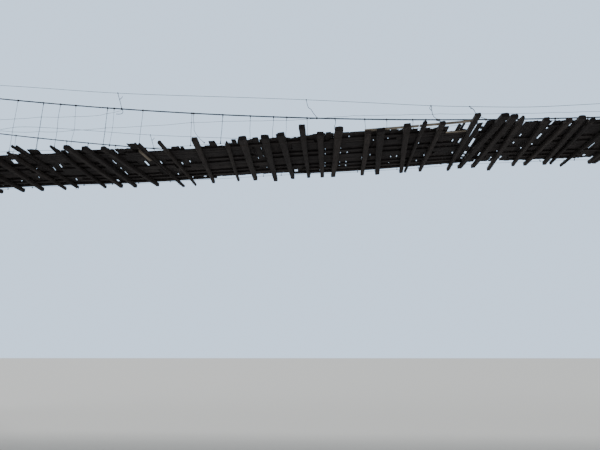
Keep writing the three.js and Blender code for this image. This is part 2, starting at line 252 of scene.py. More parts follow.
concrete, tree, shader = new_finish("rough_concrete", 0.93)
stains = shades(
    tree, patches(tree, 0.5), (0.3, (0.20, 0.19, 0.17)), (0.55, (0.36, 0.345, 0.315)),
    (0.75, (0.43, 0.42, 0.39)),
)
runs = shades(tree, patches(tree, 0.14, (1, 1, 7)), (0.35, 0.62), (0.6, 1.0))
grit = shades(tree, patches(tree, 0.012), (0.35, 0.8), (0.6, 1.0))
colour = layered(tree, 1.0, layered(tree, 0.8, stains, runs, "MULTIPLY"), grit, "MULTIPLY")
coat(tree, shader, colour, (0.08, 0.006), (0.01, 0.002))

for side, _, bank, _ in QUARTERS:
    node = f"anchor_block_{side}_{bank}"
    block = copy_of(node)
    low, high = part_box(node)
    middle = (low + high) / 2
    round_edges(block, [e for e in block.edges if min(v.co.z for v in e.verts) > TOUCH], CONCRETE_EDGE)
    joint = BOARD_HEIGHT
    while joint < high.z - CONCRETE_EDGE - BOARD_GROOVE:
        for level in (joint - BOARD_GROOVE, joint, joint + BOARD_GROOVE):
            cut = block.verts[:] + block.edges[:] + block.faces[:]
            bmesh.ops.bisect_plane(block, geom=cut, plane_co=(0, 0, level), plane_no=(0, 0, 1))
        for vert in block.verts:
            if abs(vert.co.z - joint) < 1e-5:
                inward = (middle - vert.co).normalized()
                vert.co += Vector((inward.x, inward.y, 0)) * BOARD_GROOVE
        joint += BOARD_HEIGHT
    finished_piece(node + "_concrete", block, [concrete], "rough_concrete", node)

# Abutments: rough stones laid in mortar, with a lower seat in front for the deck's end,
# a landing of flat slabs behind it, and two stone steps up from the ground.
STONE_JOINT = 0.012
MORTAR_DEPTH = 0.02
STONE_DEPTH = 0.2
STONE_LENGTHS = (0.2, 0.42)
LEAST_LENGTH = 0.7  # of the shortest of these
SLIVER = 0.02  # too narrow for a stone of its own
STONE_PROUD = (-0.004, 0.008)
STONE_LUMPS = ((9, 0.011), (31, 0.004))  # how many to a metre, and how far they stand out
COURSE_HEIGHTS = (0.13, 0.21)
COURSE_WANDER = 0.2  # of a course's height
LANDING_COURSES = (0.1, 0.14)
STEP_COURSES = (0.16, 0.22)
STEP_STONE_DEPTH = 0.14
SLAB_THICKNESS = 0.07
SLAB_SIZE = 0.52
SLAB_WEAR = 0.16
SLAB_GAP = 0.004  # round the landing and the treads
SLAB_SIDE_GAP = 0.005
SLAB_BED = 0.006
SLAB_UNEVEN = 0.008  # room for its rough upper side
SEAT_BACK = 16.512
SEAT_SLAB = 0.06
SEAT_WEAR = 0.2
STEP_GOING = 0.3
STEP_HALF_WIDTH = 0.9
TREAD_OVERHANG = 0.02
TREAD_UNDER_NEXT = 0.03
TREAD_STONES = 3
LANDING_HEIGHT = 0.78
chance = random.Random(7)
noise.seed_set(7)  # or else noise_vector gives other stones and boards in each run


def add_stone(wall, low, high, wear=0.12):
    """Adds a rough stone that fills the box between two corners, with worn edges."""
    block = bmesh.new()
    tone = block.verts.layers.float.new("tone")
    size = Vector([abs(high[i] - low[i]) for i in range(3)])
    middle = Vector([(high[i] + low[i]) / 2 for i in range(3)])
    bmesh.ops.create_cube(block, size=1)
    bmesh.ops.subdivide_edges(block, edges=block.edges[:], cuts=1, use_grid_fill=True)
    bmesh.ops.scale(block, vec=size, verts=block.verts)
    round_edges(block, [e for e in block.edges if e.calc_face_angle(0) > 1], wear * min(size))
    shift = Vector([chance.uniform(-50, 50) for _ in range(3)])
    own_tone = chance.random()
    for vert in block.verts:
        rough = Vector()
        for lumps, depth in STONE_LUMPS:
            rough += noise.noise_vector(vert.co * lumps + shift) * depth
        vert.co = middle + vert.co + rough
        vert[tone] = own_tone
    add_to(wall, block)


def add_to(whole, part):
    """Moves a small bmesh into a bigger one."""
    carrier = bpy.data.meshes.new("carrier")
    part.to_mesh(carrier)
    part.free()
    whole.from_mesh(carrier)
    bpy.data.meshes.remove(carrier)


def add_mortar(wall, low, high):
    """The mortar behind the stones: the box between two corners, set back at its sides."""
    core = bmesh.new()
    low, high = Vector(low), Vector(high)
    size = [abs(high[i] - low[i]) - (2 * MORTAR_DEPTH if i < 2 else 0) for i in range(3)]
    bmesh.ops.create_cube(core, size=1, matrix=placed((low + high) / 2, size))
    for face in core.faces:
        face.material_index = 1
    add_to(wall, core)


def rubble(wall, low, high, depth=STONE_DEPTH, lengths=STONE_LENGTHS, heights=COURSE_HEIGHTS):
    """Courses of stones round a box, bonded at its corners, with mortar behind them."""
    add_mortar(wall, low, high)
    rise = high[2] - low[2]
    count = max(1, round(rise / ((heights[0] + heights[1]) / 2)))
    wander = [chance.uniform(-COURSE_WANDER, COURSE_WANDER) for _ in range(1, count)]
    cuts = sorted(low[2] + rise * (i + stray) / count for i, stray in enumerate(wander, 1))
    levels = [low[2], *cuts, high[2]]
    for course in range(count):
        z0, z1 = levels[course] + STONE_JOINT / 2, levels[course + 1] - STONE_JOINT / 2
        for axis, other in ((0, 1), (1, 0)):
            # on even courses the stones along X run out to the corners, on odd ones those along Y
            inset = 0 if (course + axis) % 2 == 0 else depth + STONE_JOINT
            start, end = low[axis] + inset, high[axis] - inset
            for outer, outwards in ((low[other], -1), (high[other], 1)):
                at = start
                while end - at > SLIVER:
                    length = chance.uniform(*lengths)
                    if end - at - length < lengths[0] * LEAST_LENGTH:
                        length = end - at
                    proud = chance.uniform(*STONE_PROUD)
                    a, b = [0, 0, z0], [0, 0, z1]
                    a[axis], b[axis] = at, at + length - STONE_JOINT
                    a[other], b[other] = sorted((outer - depth * outwards, outer + proud * outwards))
                    add_stone(wall, a, b)
                    at += length


def tones(tree, *stops):
    """The colours that each stone or board takes by its own tone."""
    tone = tree.nodes.new("ShaderNodeAttribute")
    tone.attribute_name = "tone"
    return shades(tree, tone.outputs["Fac"], *stops)


stone, tree, shader = new_finish("rubble_stone", 0.9)
own = tones(
    tree, (0.0, (0.13, 0.12, 0.11)), (0.35, (0.24, 0.225, 0.2)), (0.7, (0.31, 0.27, 0.225)),
    (1.0, (0.40, 0.385, 0.35)),
)
cloud = shades(tree, patches(tree, 0.07), (0.3, 0.62), (0.7, 1.0))
lichen = shades(tree, patches(tree, 0.16, detail=8), (0.56, 0.0), (0.66, 0.75))
pale = shades(tree, patches(tree, 0.02), (0.4, (0.27, 0.27, 0.22)), (0.7, (0.45, 0.45, 0.38)))
colour = layered(tree, lichen, layered(tree, 1.0, own, cloud, "MULTIPLY"), pale)
coat(tree, shader, colour, (0.05, 0.008), (0.009, 0.003))

mortar, tree, shader = new_finish("mortar", 0.95)
colour = shades(tree, patches(tree, 0.05), (0.35, (0.15, 0.145, 0.13)), (0.7, (0.27, 0.26, 0.24)))
coat(tree, shader, colour, (0.02, 0.006))


def facing(bank_sign, x0, y0, z0, x1, y1, z1):
    """Two corners of a box that is given for the right bank, on either bank."""
    a, b = sorted((bank_sign * x0, bank_sign * x1))
    return (a, y0, z0), (b, y1, z1)


for bank, bank_sign in BANKS:
    node = "abutment_" + bank
    low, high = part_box(node)
    front, foot = sorted((abs(low.x), abs(high.x)))
    back = foot - 2 * STEP_GOING
    half = high.y
    ends = [v.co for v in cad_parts[node].data.vertices if abs(abs(v.co.x) - front) < 0.1]
    seat = min(end.z for end in ends if end.z > 0.1)
    top = LANDING_HEIGHT - SLAB_THICKNESS
    seat_back, landing_front = SEAT_BACK - SLAB_GAP, SEAT_BACK + SLAB_GAP
    wall = bmesh.new()
    wall.verts.layers.float.new("tone")
    rubble(wall, *facing(bank_sign, front, -half, 0, back, half, seat))
    rubble(
        wall, *facing(bank_sign, landing_front, -half, seat, back, half, top), heights=LANDING_COURSES
    )
    # the seat's own flat stones, and the slabs of the landing
    rows = max(1, round(2 * half / SLAB_SIZE))
    across = round((back - SEAT_BACK) / SLAB_SIZE)
    step = (back - SEAT_BACK) / across
    for i in range(rows):
        y0 = -half + 2 * half * i / rows + SLAB_SIDE_GAP
        y1 = -half + 2 * half * (i + 1) / rows - SLAB_SIDE_GAP
        z0, z1 = seat - SEAT_SLAB, seat - SLAB_UNEVEN
        add_stone(wall, *facing(bank_sign, front + SLAB_GAP, y0, z0, seat_back, y1, z1), SEAT_WEAR)
        z0, z1 = top + SLAB_BED, LANDING_HEIGHT - SLAB_UNEVEN
        for k in range(across):
            x0 = landing_front + k * step
            x1 = x0 + step - SLAB_BED
            add_stone(wall, *facing(bank_sign, x0 + SLAB_GAP, y0, z0, x1, y1, z1), SLAB_WEAR)
    # the steps: a riser of rubble under a flat stone tread
    for i in (1, 2):
        x0, x1 = back, foot - (i - 1) * STEP_GOING
        z0, z1 = LANDING_HEIGHT * (i - 1) / 3, LANDING_HEIGHT * i / 3
        riser = facing(
            bank_sign, x0, -STEP_HALF_WIDTH, z0,
            x1 - TREAD_OVERHANG, STEP_HALF_WIDTH, z1 - SLAB_THICKNESS,
        )
        rubble(wall, *riser, depth=STEP_STONE_DEPTH, heights=STEP_COURSES)
        z0 = z1 - SLAB_THICKNESS + SLAB_GAP
        width = STEP_HALF_WIDTH * 2 / TREAD_STONES
        for k in range(TREAD_STONES):
            y0 = -STEP_HALF_WIDTH + k * width
            tread = facing(
                bank_sign, x1 - STEP_GOING - TREAD_UNDER_NEXT, y0 + SLAB_GAP, z0,
                x1 - SLAB_GAP, y0 + width - SLAB_GAP, z1 - SLAB_UNEVEN,
            )
            add_stone(wall, *tread, SLAB_WEAR)
    finished_piece(node + "_masonry", wall, [stone, mortar], "rubble_stone", node)

# Pillars: squared rubble in mortar under a cast cap, one under each saddle.
# The saddle is bolted to the cap, and the cable presses both down on the stones.
PILLAR_CAP = 0.09
CAP_GAP = 0.004
CAP_EDGE = 0.014
PILLAR_STONE_DEPTH = 0.15
PILLAR_STONE_LENGTHS = (0.13, 0.27)
PILLAR_COURSES = (0.1, 0.17)

for side, _, bank, _ in QUARTERS:
    node = f"cable_pillar_{side}_{bank}"
    low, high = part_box(node)
    shaft = bmesh.new()
    shaft.verts.layers.float.new("tone")
    rubble(
        shaft, low, (high.x, high.y, high.z - PILLAR_CAP), PILLAR_STONE_DEPTH,
        PILLAR_STONE_LENGTHS, PILLAR_COURSES,
    )
    cap = bmesh.new()
    middle = ((low.x + high.x) / 2, (low.y + high.y) / 2, high.z - PILLAR_CAP / 2)
    size = (high.x - low.x, high.y - low.y, PILLAR_CAP - CAP_GAP)
    bmesh.ops.create_cube(cap, size=1, matrix=placed(middle, size))
    round_edges(cap, cap.edges[:], CAP_EDGE)
    for face in cap.faces:
        face.material_index = 2
    add_to(shaft, cap)
    finished_piece(node + "_masonry", shaft, [stone, mortar, concrete], "rubble_stone", node)

# Saddles: cast iron shoes bolted to the caps. The cable lies in a curved groove between two
# cheeks, and ribs carry the cheeks down to the foot plate.
CABLE_SPREAD = 1.34
CABLE_RADIUS = 0.018
CABLE_LOW_POINT = 1.568
CABLE_RISE = 0.00445
SADDLE_START = 16.67
BEND_RADIUS = 0.32
PILLAR_X = 16.77
APPROACH = math.atan(2 * CABLE_RISE * PILLAR_X)
BACKSTAY_SLOPE = math.radians(45)
SADDLE_WIDTH = 0.12
SHOE_WIDTH = 0.046
CHEEK = 0.018
CHEEK_ABOVE_AXIS = 0.011
FOOT_PLATE = 0.018
RIB = 0.012
RIB_PLACES = (0.16, 0.5, 0.84)  # along the saddle
RIB_BELOW_LIP = 0.03
RIB_EDGE = 0.002
IRON_EDGE = 0.004
IRON_LAP = 0.002  # how far one part of the casting runs into the next
CABLE_BED_GAP = 0.0005
FOOT_PAST_SADDLE = (0.05, 0.09)
SADDLE_BOLT = 0.014
BOLT_FROM_END = 0.01
BOLT_FROM_SIDE = 0.024


def cable_height(x):
    """Height of a main cable's axis between the pillars."""
    return CABLE_LOW_POINT + CABLE_RISE * x * x


bend_x = SADDLE_START + BEND_RADIUS * math.sin(APPROACH)
bend_z = cable_height(SADDLE_START) - BEND_RADIUS * math.cos(APPROACH)


def on_bend(radius, angle):
    """A point on an arc over the saddle, as its distance from mid-span and its height."""
    return bend_x - radius * math.sin(angle), bend_z + radius * math.cos(angle)


def angles(steps, first=0.0, last=2 * math.pi):
    """Angles at even steps from the first to the last."""
    return [first + (last - first) * i / steps for i in range(steps + 1)]


def shoe_plate(radius, y0, y1, base, bank_sign):
    """A plate of the saddle: upright, with its upper edge curved under the cable."""
    plate = bmesh.new()
    rim = [on_bend(radius, angle) for angle in angles(12, APPROACH, -BACKSTAY_SLOPE)]
    outline = [(rim[0][0], base), *rim, (rim[-1][0], base)]
    corners = [plate.verts.new((bank_sign * x, y0, z)) for x, z in outline]
    face = plate.faces.new(corners)
    grown = bmesh.ops.extrude_face_region(plate, geom=[face])
    moved = [v for v in grown["geom"] if isinstance(v, bmesh.types.BMVert)]
    bmesh.ops.translate(plate, vec=(0, y1 - y0, 0), verts=moved)
    bmesh.ops.recalc_face_normals(plate, faces=plate.faces)
    round_edges(plate, [e for e in plate.edges if e.calc_face_angle(0) > 0.6], IRON_EDGE)
    return plate


def add_block(whole, centre, size, worn):
    """Adds a square block with rounded edges."""
    block = bmesh.new()
    bmesh.ops.create_cube(block, size=1, matrix=placed(centre, size))
    round_edges(block, block.edges[:], worn)
    add_to(whole, block)


def add_bolt(whole, place, size, axis=Vector((0, 0, 1))):
    """Adds a hexagonal nut with the end of its bolt standing out of it."""
    turn = axis.to_track_quat("Z", "Y").to_matrix().to_4x4()
    for segments, radius, height in ((6, size, size * 0.9), (12, size * 0.5, size * 2)):
        bolt = bmesh.new()
        lift = Matrix.Translation((0, 0, height / 2))
        bmesh.ops.create_cone(
            bolt, cap_ends=True, segments=segments, radius1=radius, radius2=radius, depth=height,
            matrix=Matrix.Translation(place) @ turn @ lift,
        )
        round_edges(bolt, [e for e in bolt.edges if e.calc_face_angle(0) > 1.2], size * 0.1, 1)
        add_to(whole, bolt)


iron, tree, shader = new_finish("rusty_iron", 0.78, 0.35)
rust = shades(
    tree, patches(tree, 0.05, detail=8), (0.3, (0.035, 0.022, 0.017)), (0.5, (0.095, 0.043, 0.024)),
    (0.62, (0.17, 0.075, 0.035)), (0.8, (0.23, 0.12, 0.06)),
)
coat(tree, shader, rust, (0.012, 0.002), (0.003, 0.0006))

for side, side_sign, bank, bank_sign in QUARTERS:
    node = f"cable_saddle_{side}_{bank}"
    low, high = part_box(node)
    y = side_sign * CABLE_SPREAD
    base = low.z + FOOT_PLATE
    groove, lip = BEND_RADIUS - CABLE_RADIUS - CABLE_BED_GAP, BEND_RADIUS + CHEEK_ABOVE_AXIS
    shoe = bmesh.new()
    add_to(shoe, shoe_plate(groove, y - SHOE_WIDTH / 2, y + SHOE_WIDTH / 2, base, bank_sign))
    for way in (-1, 1):
        inner, outer = sorted((y + way * SHOE_WIDTH / 2, y + way * (SHOE_WIDTH / 2 + CHEEK)))
        add_to(shoe, shoe_plate(lip, inner - IRON_LAP, outer, base, bank_sign))
        rib_y = y + way * (SHOE_WIDTH / 2 + CHEEK + SADDLE_WIDTH / 2) / 2
        rib_reach = SADDLE_WIDTH / 2 - SHOE_WIDTH / 2 - CHEEK + 2 * IRON_LAP
        for share in RIB_PLACES:
            x = low.x + (high.x - low.x) * share
            top = on_bend(lip, math.asin((bend_x - abs(x)) / lip))[1] - RIB_BELOW_LIP
            add_block(shoe, (x, rib_y, (top + base) / 2), (RIB, rib_reach, top - base), RIB_EDGE)
    longer, wider = FOOT_PAST_SADDLE
    foot = (high.x - low.x + longer, SADDLE_WIDTH + wider, FOOT_PLATE)
    add_block(shoe, ((low.x + high.x) / 2, y, low.z + FOOT_PLATE / 2), foot, IRON_EDGE)
    for x in (low.x + BOLT_FROM_END, high.x - BOLT_FROM_END):
        for way in (-1, 1):
            bolt_y = y + way * (SADDLE_WIDTH / 2 + BOLT_FROM_SIDE)
            add_bolt(shoe, Vector((x, bolt_y, base)), SADDLE_BOLT)
    finished_piece(node + "_casting", shoe, [iron], "rusty_iron", node)

# Main cables: six-strand steel wire rope, greased and dark, run from anchor to anchor over
# the saddles. Each end is turned back round an eye and held by three clips.
STRANDS = 6
STRAND_RADIUS = 0.0062
LAY_RADIUS = 0.0118
LAY_LENGTH = 0.24
LAY_STEPS = 8
BACKSTAY_LENGTH = 3.2
EYE_FROM_FACE = 0.2
EYE_RADIUS = 0.045
EYE_BAR = 0.017
EYE_BAR_IN_BLOCK = 0.05
LOOP_RADIUS = 0.06
LOOP_FROM_EYE = 0.01
LOOP_LENGTH = 0.2
TAIL_LENGTH = 0.75
TAIL_RISE = 0.039
CLIP_PLACES = (0.28, 0.44, 0.6)
CLIP_ROD = 0.006
CLIP_BEND = 0.025
CLIP_LEG = 0.055
CLIP_SEAT = (0.034, 0.08, 0.018)
CLIP_SEAT_BELOW = 0.026
CLIP_NUT = 0.011
CLIP_NUT_BELOW = 0.035


def spaced(points, step):
    """Points at even steps along the line through the given points."""
    lengths = [(b - a).length for a, b in zip(points, points[1:])]
    count = max(1, round(sum(lengths) / step))
    even = sum(lengths) / count
    result, passed, i = [], 0.0, 0
    for k in range(count + 1):
        while i < len(lengths) - 1 and passed + lengths[i] < k * even:
            passed += lengths[i]
            i += 1
        result.append(points[i].lerp(points[i + 1], min(1, (k * even - passed) / lengths[i])))
    return result


def eased(points, times=2):
    """The same line with its corners cut, which rounds them."""
    for _ in range(times):
        cut = [points[0]]
        for a, b in zip(points, points[1:]):
            cut += [a.lerp(b, 0.25), a.lerp(b, 0.75)]
        points = cut + [points[-1]]
    return points


def laid(points, strands, lay_radius, lay_length, steps):
    """The lines of the strands that are laid round a line."""
    line = spaced(points, lay_length / steps)
    lines = [[] for _ in range(strands)]
    sideways = (line[1] - line[0]).orthogonal()
    for i, point in enumerate(line):
        ahead = (line[min(i + 1, len(line) - 1)] - line[max(i - 1, 0)]).normalized()
        sideways = (sideways - ahead * sideways.dot(ahead)).normalized()
        across = ahead.cross(sideways)
        for k in range(strands):
            angle = 2 * math.pi * (i / steps + k / strands)
            lines[k].append(point + (sideways * math.cos(angle) + across * math.sin(angle)) * lay_radius)
    return lines


def round_wires(lines, roundness=1):
    """A bmesh of round wires: each is a list of points and a radius."""
    curve = bpy.data.curves.new("wires", "CURVE")
    curve.dimensions = "3D"
    curve.bevel_depth = 1
    curve.bevel_resolution = roundness
    curve.use_fill_caps = True
    for points, radius in lines:
        spline = curve.splines.new("POLY")
        spline.points.add(len(points) - 1)
        for knot, point in zip(spline.points, points):
            knot.co = (*point, 1)
            knot.radius = radius
    holder = bpy.data.objects.new("wires", curve)
    scene.collection.objects.link(holder)
    bpy.context.view_layer.update()
    mesh = bpy.data.meshes.new_from_object(holder)
    shape = bmesh.new()
    shape.from_mesh(mesh)
    bmesh.ops.recalc_face_normals(shape, faces=shape.faces)
    bpy.data.meshes.remove(mesh)
    bpy.data.objects.remove(holder)
    return shape


def at_bank(point, y, bank_sign):
    """A place on either bank from a point in a cable's own plane: distance and height."""
    return Vector((bank_sign * point.x, y, point.y))


backstay_top = Vector(on_bend(BEND_RADIUS, -BACKSTAY_SLOPE))
down_line = Vector((math.cos(BACKSTAY_SLOPE), -math.sin(BACKSTAY_SLOPE)))
off_line = Vector((math.sin(BACKSTAY_SLOPE), math.cos(BACKSTAY_SLOPE)))
face_point = backstay_top + down_line * BACKSTAY_LENGTH
eye = face_point - down_line * EYE_FROM_FACE
loop_centre = eye - down_line * (LOOP_RADIUS + LOOP_FROM_EYE)
loop = [loop_centre - down_line * LOOP_LENGTH]
for turn in angles(8, -math.pi / 2, math.pi / 2):
    loop.append(loop_centre + (down_line * math.cos(turn) + off_line * math.sin(turn)) * LOOP_RADIUS)
for length in (LOOP_LENGTH, TAIL_LENGTH):
    loop.append(loop_centre - down_line * length + off_line * TAIL_RISE)
half_line = [Vector((x / 4, cable_height(x / 4))) for x in range(0, 66)]
half_line.append(Vector((SADDLE_START, cable_height(SADDLE_START))))
half_line += [Vector(on_bend(BEND_RADIUS, turn)) for turn in angles(16, APPROACH, -BACKSTAY_SLOPE)[1:]]
half_line += eased(loop, 2)

grease, tree, shader = new_finish("greased_wire_rope", 0.5, 0.75)
steel = shades(
    tree, patches(tree, 0.09, detail=8), (0.35, (0.012, 0.011, 0.011)), (0.6, (0.03, 0.027, 0.025)),
    (0.75, (0.075, 0.048, 0.034)),
)
coat(tree, shader, steel, (0.004, 0.0005))

for side, side_sign in SIDES:
    y = side_sign * CABLE_SPREAD
    left = [at_bank(point, y, -1) for point in half_line[:0:-1]]
    right = [at_bank(point, y, 1) for point in half_line]
    strands = laid(left + right, STRANDS, LAY_RADIUS, LAY_LENGTH, LAY_STEPS)
    cable = round_wires([(line, STRAND_RADIUS) for line in strands])
    finished_piece(f"main_cable_{side}_rope", cable, [grease], "wire_rope", "main_cable_" + side)

fittings = bmesh.new()
for _, side_sign, _, bank_sign in QUARTERS:
    y = side_sign * CABLE_SPREAD
    below = Vector((-bank_sign * off_line.x, 0, -off_line.y))
    tilt = Matrix.Rotation(bank_sign * BACKSTAY_SLOPE, 4, "Y")
    ring = []
    for turn in angles(24):
        point = eye + down_line * EYE_RADIUS * math.cos(turn)
        ring.append(at_bank(point, y + EYE_RADIUS * math.sin(turn), bank_sign))
    ends = (face_point + down_line * EYE_BAR_IN_BLOCK, eye + down_line * EYE_RADIUS)
    bars = [(ring, EYE_BAR), ([at_bank(point, y, bank_sign) for point in ends], EYE_BAR)]
    for place in CLIP_PLACES:
        seat = loop_centre - down_line * place
        centre = at_bank(seat, y, bank_sign)
        bow = [(-CLIP_LEG, -CLIP_BEND), (TAIL_RISE, -CLIP_BEND)]
        for turn in angles(8, 0, math.pi):
            bow.append((TAIL_RISE + CLIP_BEND * math.sin(turn), -CLIP_BEND * math.cos(turn)))
        bow.append((-CLIP_LEG, CLIP_BEND))
        rod = [at_bank(seat + off_line * rise, y + reach, bank_sign) for rise, reach in bow]
        bars.append((rod, CLIP_ROD))
        block = bmesh.new()
        add_block(block, (0, 0, 0), CLIP_SEAT, IRON_EDGE)
        under = Matrix.Translation(centre + below * CLIP_SEAT_BELOW) @ tilt
        bmesh.ops.transform(block, matrix=under, verts=block.verts)
        add_to(fittings, block)
        for reach in (-CLIP_BEND, CLIP_BEND):
            add_bolt(fittings, centre + below * CLIP_NUT_BELOW + Vector((0, reach, 0)), CLIP_NUT, below)
    add_to(fittings, round_wires(bars, 3))
finished_piece("anchor_eyes_and_clips", fittings, [iron], "rusty_iron")

# Crossbeams: rough poles and sawn planks of many lengths, laid across under the deck. The
# wire hangers carry them by their ends, and the boards are spiked to them.
DECK_HALF_LENGTH = 16.5
DECK_HALF_WIDTH = 1.2
BEAM_DEPTH = 0.11
BEAM_TOP = -0.069  # under the deck's surface
# x, and the height of the deck's surface along its far edge
DECK_HEIGHTS = (
    (-16.77, 0.795), (-13.6, 0.925), (-11.0, 0.985), (-8.8, 1.085), (-6.6, 1.19), (-5.0, 1.23),
    (-3.7, 1.29), (-2.2, 1.38), (-1.0, 1.455), (0.5, 1.5), (2.5, 1.545), (6.0, 1.47), (9.0, 1.29),
    (12.5, 1.03), (16.77, 0.795),
)
# x, and how much higher its near edge lies
NEAR_EDGE_LIFTS = (
    (-16.77, 0.0), (-13.8, 0.03), (-9.5, -0.045), (-7.8, -0.03), (-5.0, 0.055), (-1.5, 0.065),
    (2.0, 0.045), (8.0, 0.025), (16.77, 0.0),
)
# x at the near tip and at the far tip, reach of both tips from the middle, and width
SIDE_BEAMS = (
    (16.36, 16.36, 1.5, 1.48, 0.16), (15.76, 15.7, 1.62, 1.44, 0.13), (15.06, 14.98, 1.58, 1.42, 0.14),
    (14.3, 14.36, 1.7, 1.42, 0.14), (13.75, 13.64, 1.46, 1.44, 0.12), (13.38, 13.22, 1.8, 1.4, 0.14),
    (12.43, 12.33, 1.78, 1.42, 0.12), (12.04, 11.8, 1.72, 1.41, 0.15), (11.6, 11.36, 1.64, 1.44, 0.15),
    (11.12, 10.64, 1.6, 1.4, 0.13), (10.16, 9.9, 1.79, 1.74, 0.13), (9.57, 9.48, 1.86, 1.62, 0.09),
    (8.65, 8.87, 1.91, 1.46, 0.127), (7.9, 8.07, 1.57, 1.4, 0.12), (7.47, 7.53, 1.74, 1.41, 0.18),
    (6.9, 6.91, 1.7, 1.6, 0.18), (6.49, 6.35, 1.75, 1.45, 0.17), (5.93, 5.85, 2.07, 1.4, 0.14),
    (5.48, 5.42, 1.62, 1.4, 0.16), (5.0, 5.08, 1.81, 1.4, 0.19), (4.24, 4.17, 1.5, 1.4, 0.15),
    (3.92, 3.7, 1.59, 1.4, 0.19), (3.27, 2.96, 1.73, 1.4, 0.16),
)
MIDDLE_BEAMS = (
    (-2.84, -2.83, 1.8, 1.4, 0.11), (-2.37, -2.37, 1.71, 1.4, 0.13), (-1.57, -1.47, 2.0, 1.52, 0.127),
    (-0.86, -1.15, 1.9, 1.4, 0.19), (-0.61, -0.73, 1.83, 1.41, 0.17), (-0.37, -0.16, 1.77, 1.69, 0.15),
    (0.27, 0.5, 1.59, 1.4, 0.13), (0.89, 0.86, 1.49, 1.4, 0.14), (1.15, 1.46, 1.62, 1.4, 0.16),
    (1.5, 1.65, 1.47, 1.4, 0.12), (2.15, 2.06, 1.44, 1.64, 0.09), (2.78, 2.83, 1.6, 1.41, 0.14),
)
ROUND_UP_TO = 0.125  # narrower beams are poles, wider ones are sawn
BEAM_SHARE = 0.9  # of the width given, at mid-length
BEAM_WEDGE = -0.5  # they grow thinner towards the far side
BEAM_TONES = (0.05, 0.5)
POINTED = (12.43, 7.9, 13.75, 0.37)
POINT_SHARE = 0.35  # of a pointed beam's width, left at its tip
TWIN_POLES = (13.38, 10.16)  # beams that are two thin poles side by side
TWIN_SPREAD = (0.047, 0.025)  # from the beam's line, at the near and the far tip
TWIN_WIDTH = 0.05
TWIN_DEPTH = 0.08
TWIN_SHORTER = 0.03  # one pole than the other
BLEACHED_PLANK = ((-10.25, -1.3), (-10.2, -0.62), 0.09)  # both ends and width
BLEACHED_DEPTH = 0.06
BLEACHED_TONE = 0.9
STRIP_WIDTH = 0.045  # the widest flat face across a sawn timber
STEP_LENGTH = 0.28  # and along any timber
MOST_ROUGH = 0.004
BAYS = [f"deck_bay_{i:02}" for i in range(1, 17)]


def tip_share(beam, y):
    """How far along a crossbeam a place across the bridge lies, from 0 to 1."""
    _, _, near_reach, far_reach, _ = beam
    return (y + near_reach) / (near_reach + far_reach)


def beam_x(beam, y):
    """Where the middle of a crossbeam lies at a place across the bridge."""
    near_x, far_x, *_ = beam
    return near_x + (far_x - near_x) * tip_share(beam, y)


def beam_width(beam, y):
    """The width of a crossbeam at a place across the bridge."""
    *_, width = beam
    return width * BEAM_SHARE * (1 + BEAM_WEDGE * (tip_share(beam, y) - 0.5))


def along(stations, x):
    """A value read at x from (x, value) pairs, by a smooth curve through them."""
    i = max(k for k in range(len(stations) - 1) if k == 0 or stations[k][0] <= x)

    def slope(k):
        """The slope of the curve at one of its stations."""
        (xa, a), (xb, b) = stations[max(k - 1, 0)], stations[min(k + 1, len(stations) - 1)]
        return (b - a) / (xb - xa)

    (x0, z0), (x1, z1) = stations[i], stations[i + 1]
    width = x1 - x0
    t = min(1, max(0, (x - x0) / width))
    return (
        (2 * t**3 - 3 * t**2 + 1) * z0 + (t**3 - 2 * t**2 + t) * width * slope(i)
        + (3 * t**2 - 2 * t**3) * z1 + (t**3 - t**2) * width * slope(i + 1)
    )


def deck_top(x, y):
    """The height of the walking surface, which is a little higher or lower on the near side."""
    near_share = 0.5 - y / (2 * DECK_HALF_WIDTH)
    return along(DECK_HEIGHTS, x) + near_share * along(NEAR_EDGE_LIFTS, x)


def new_timbers():
    """An empty bmesh for timbers, which carries their grain and tone."""
    timbers = bmesh.new()
    timbers.verts.layers.float_vector.new("grain")
    timbers.verts.layers.float.new("tone")
    return timbers


def lengthwise(timber, length):
    """The edges that run along a timber."""
    return [e for e in timber.edges if abs(e.verts[0].co.x - e.verts[1].co.x) > length / 2]


def sawn(length, width, thickness, worn):
    """A bmesh of a sawn plank round the origin, cut into strips so that its ends can split."""
    plank = new_timbers()
    bmesh.ops.create_cube(plank, size=1)
    bmesh.ops.scale(plank, vec=(length, width, thickness), verts=plank.verts)
    round_edges(plank, lengthwise(plank, length), worn, 1)
    flat = [
        e for e in plank.edges
        if abs(e.verts[0].co.y - e.verts[1].co.y) > width / 2 and len(e.link_faces) == 2
    ]
    strips = max(1, round(width / STRIP_WIDTH))
    bmesh.ops.subdivide_edges(plank, edges=flat, cuts=strips, use_grid_fill=True)
    for side in (-1, 1):
        tips = {}
        for vert in plank.verts:
            inner = abs(vert.co.y) < width / 2 - worn - 1e-4
            if vert.co.x * side > 0 and inner and abs(vert.co.z) > thickness / 2 - 1e-4:
                tips.setdefault(round(vert.co.y, 4), []).append(vert)
        for pair in tips.values():
            bmesh.ops.connect_verts(plank, verts=pair)
    return plank


def round_pole(length, width, thickness):
    """A bmesh of a pole round the origin."""
    pole = new_timbers()
    lying = Matrix.Rotation(math.radians(90), 4, "Y")
    bmesh.ops.create_cone(pole, cap_ends=True, segments=10, radius1=0.5, radius2=0.5, depth=1, matrix=lying)
    bmesh.ops.scale(pole, vec=(length, width, thickness), verts=pole.verts)
    return pole


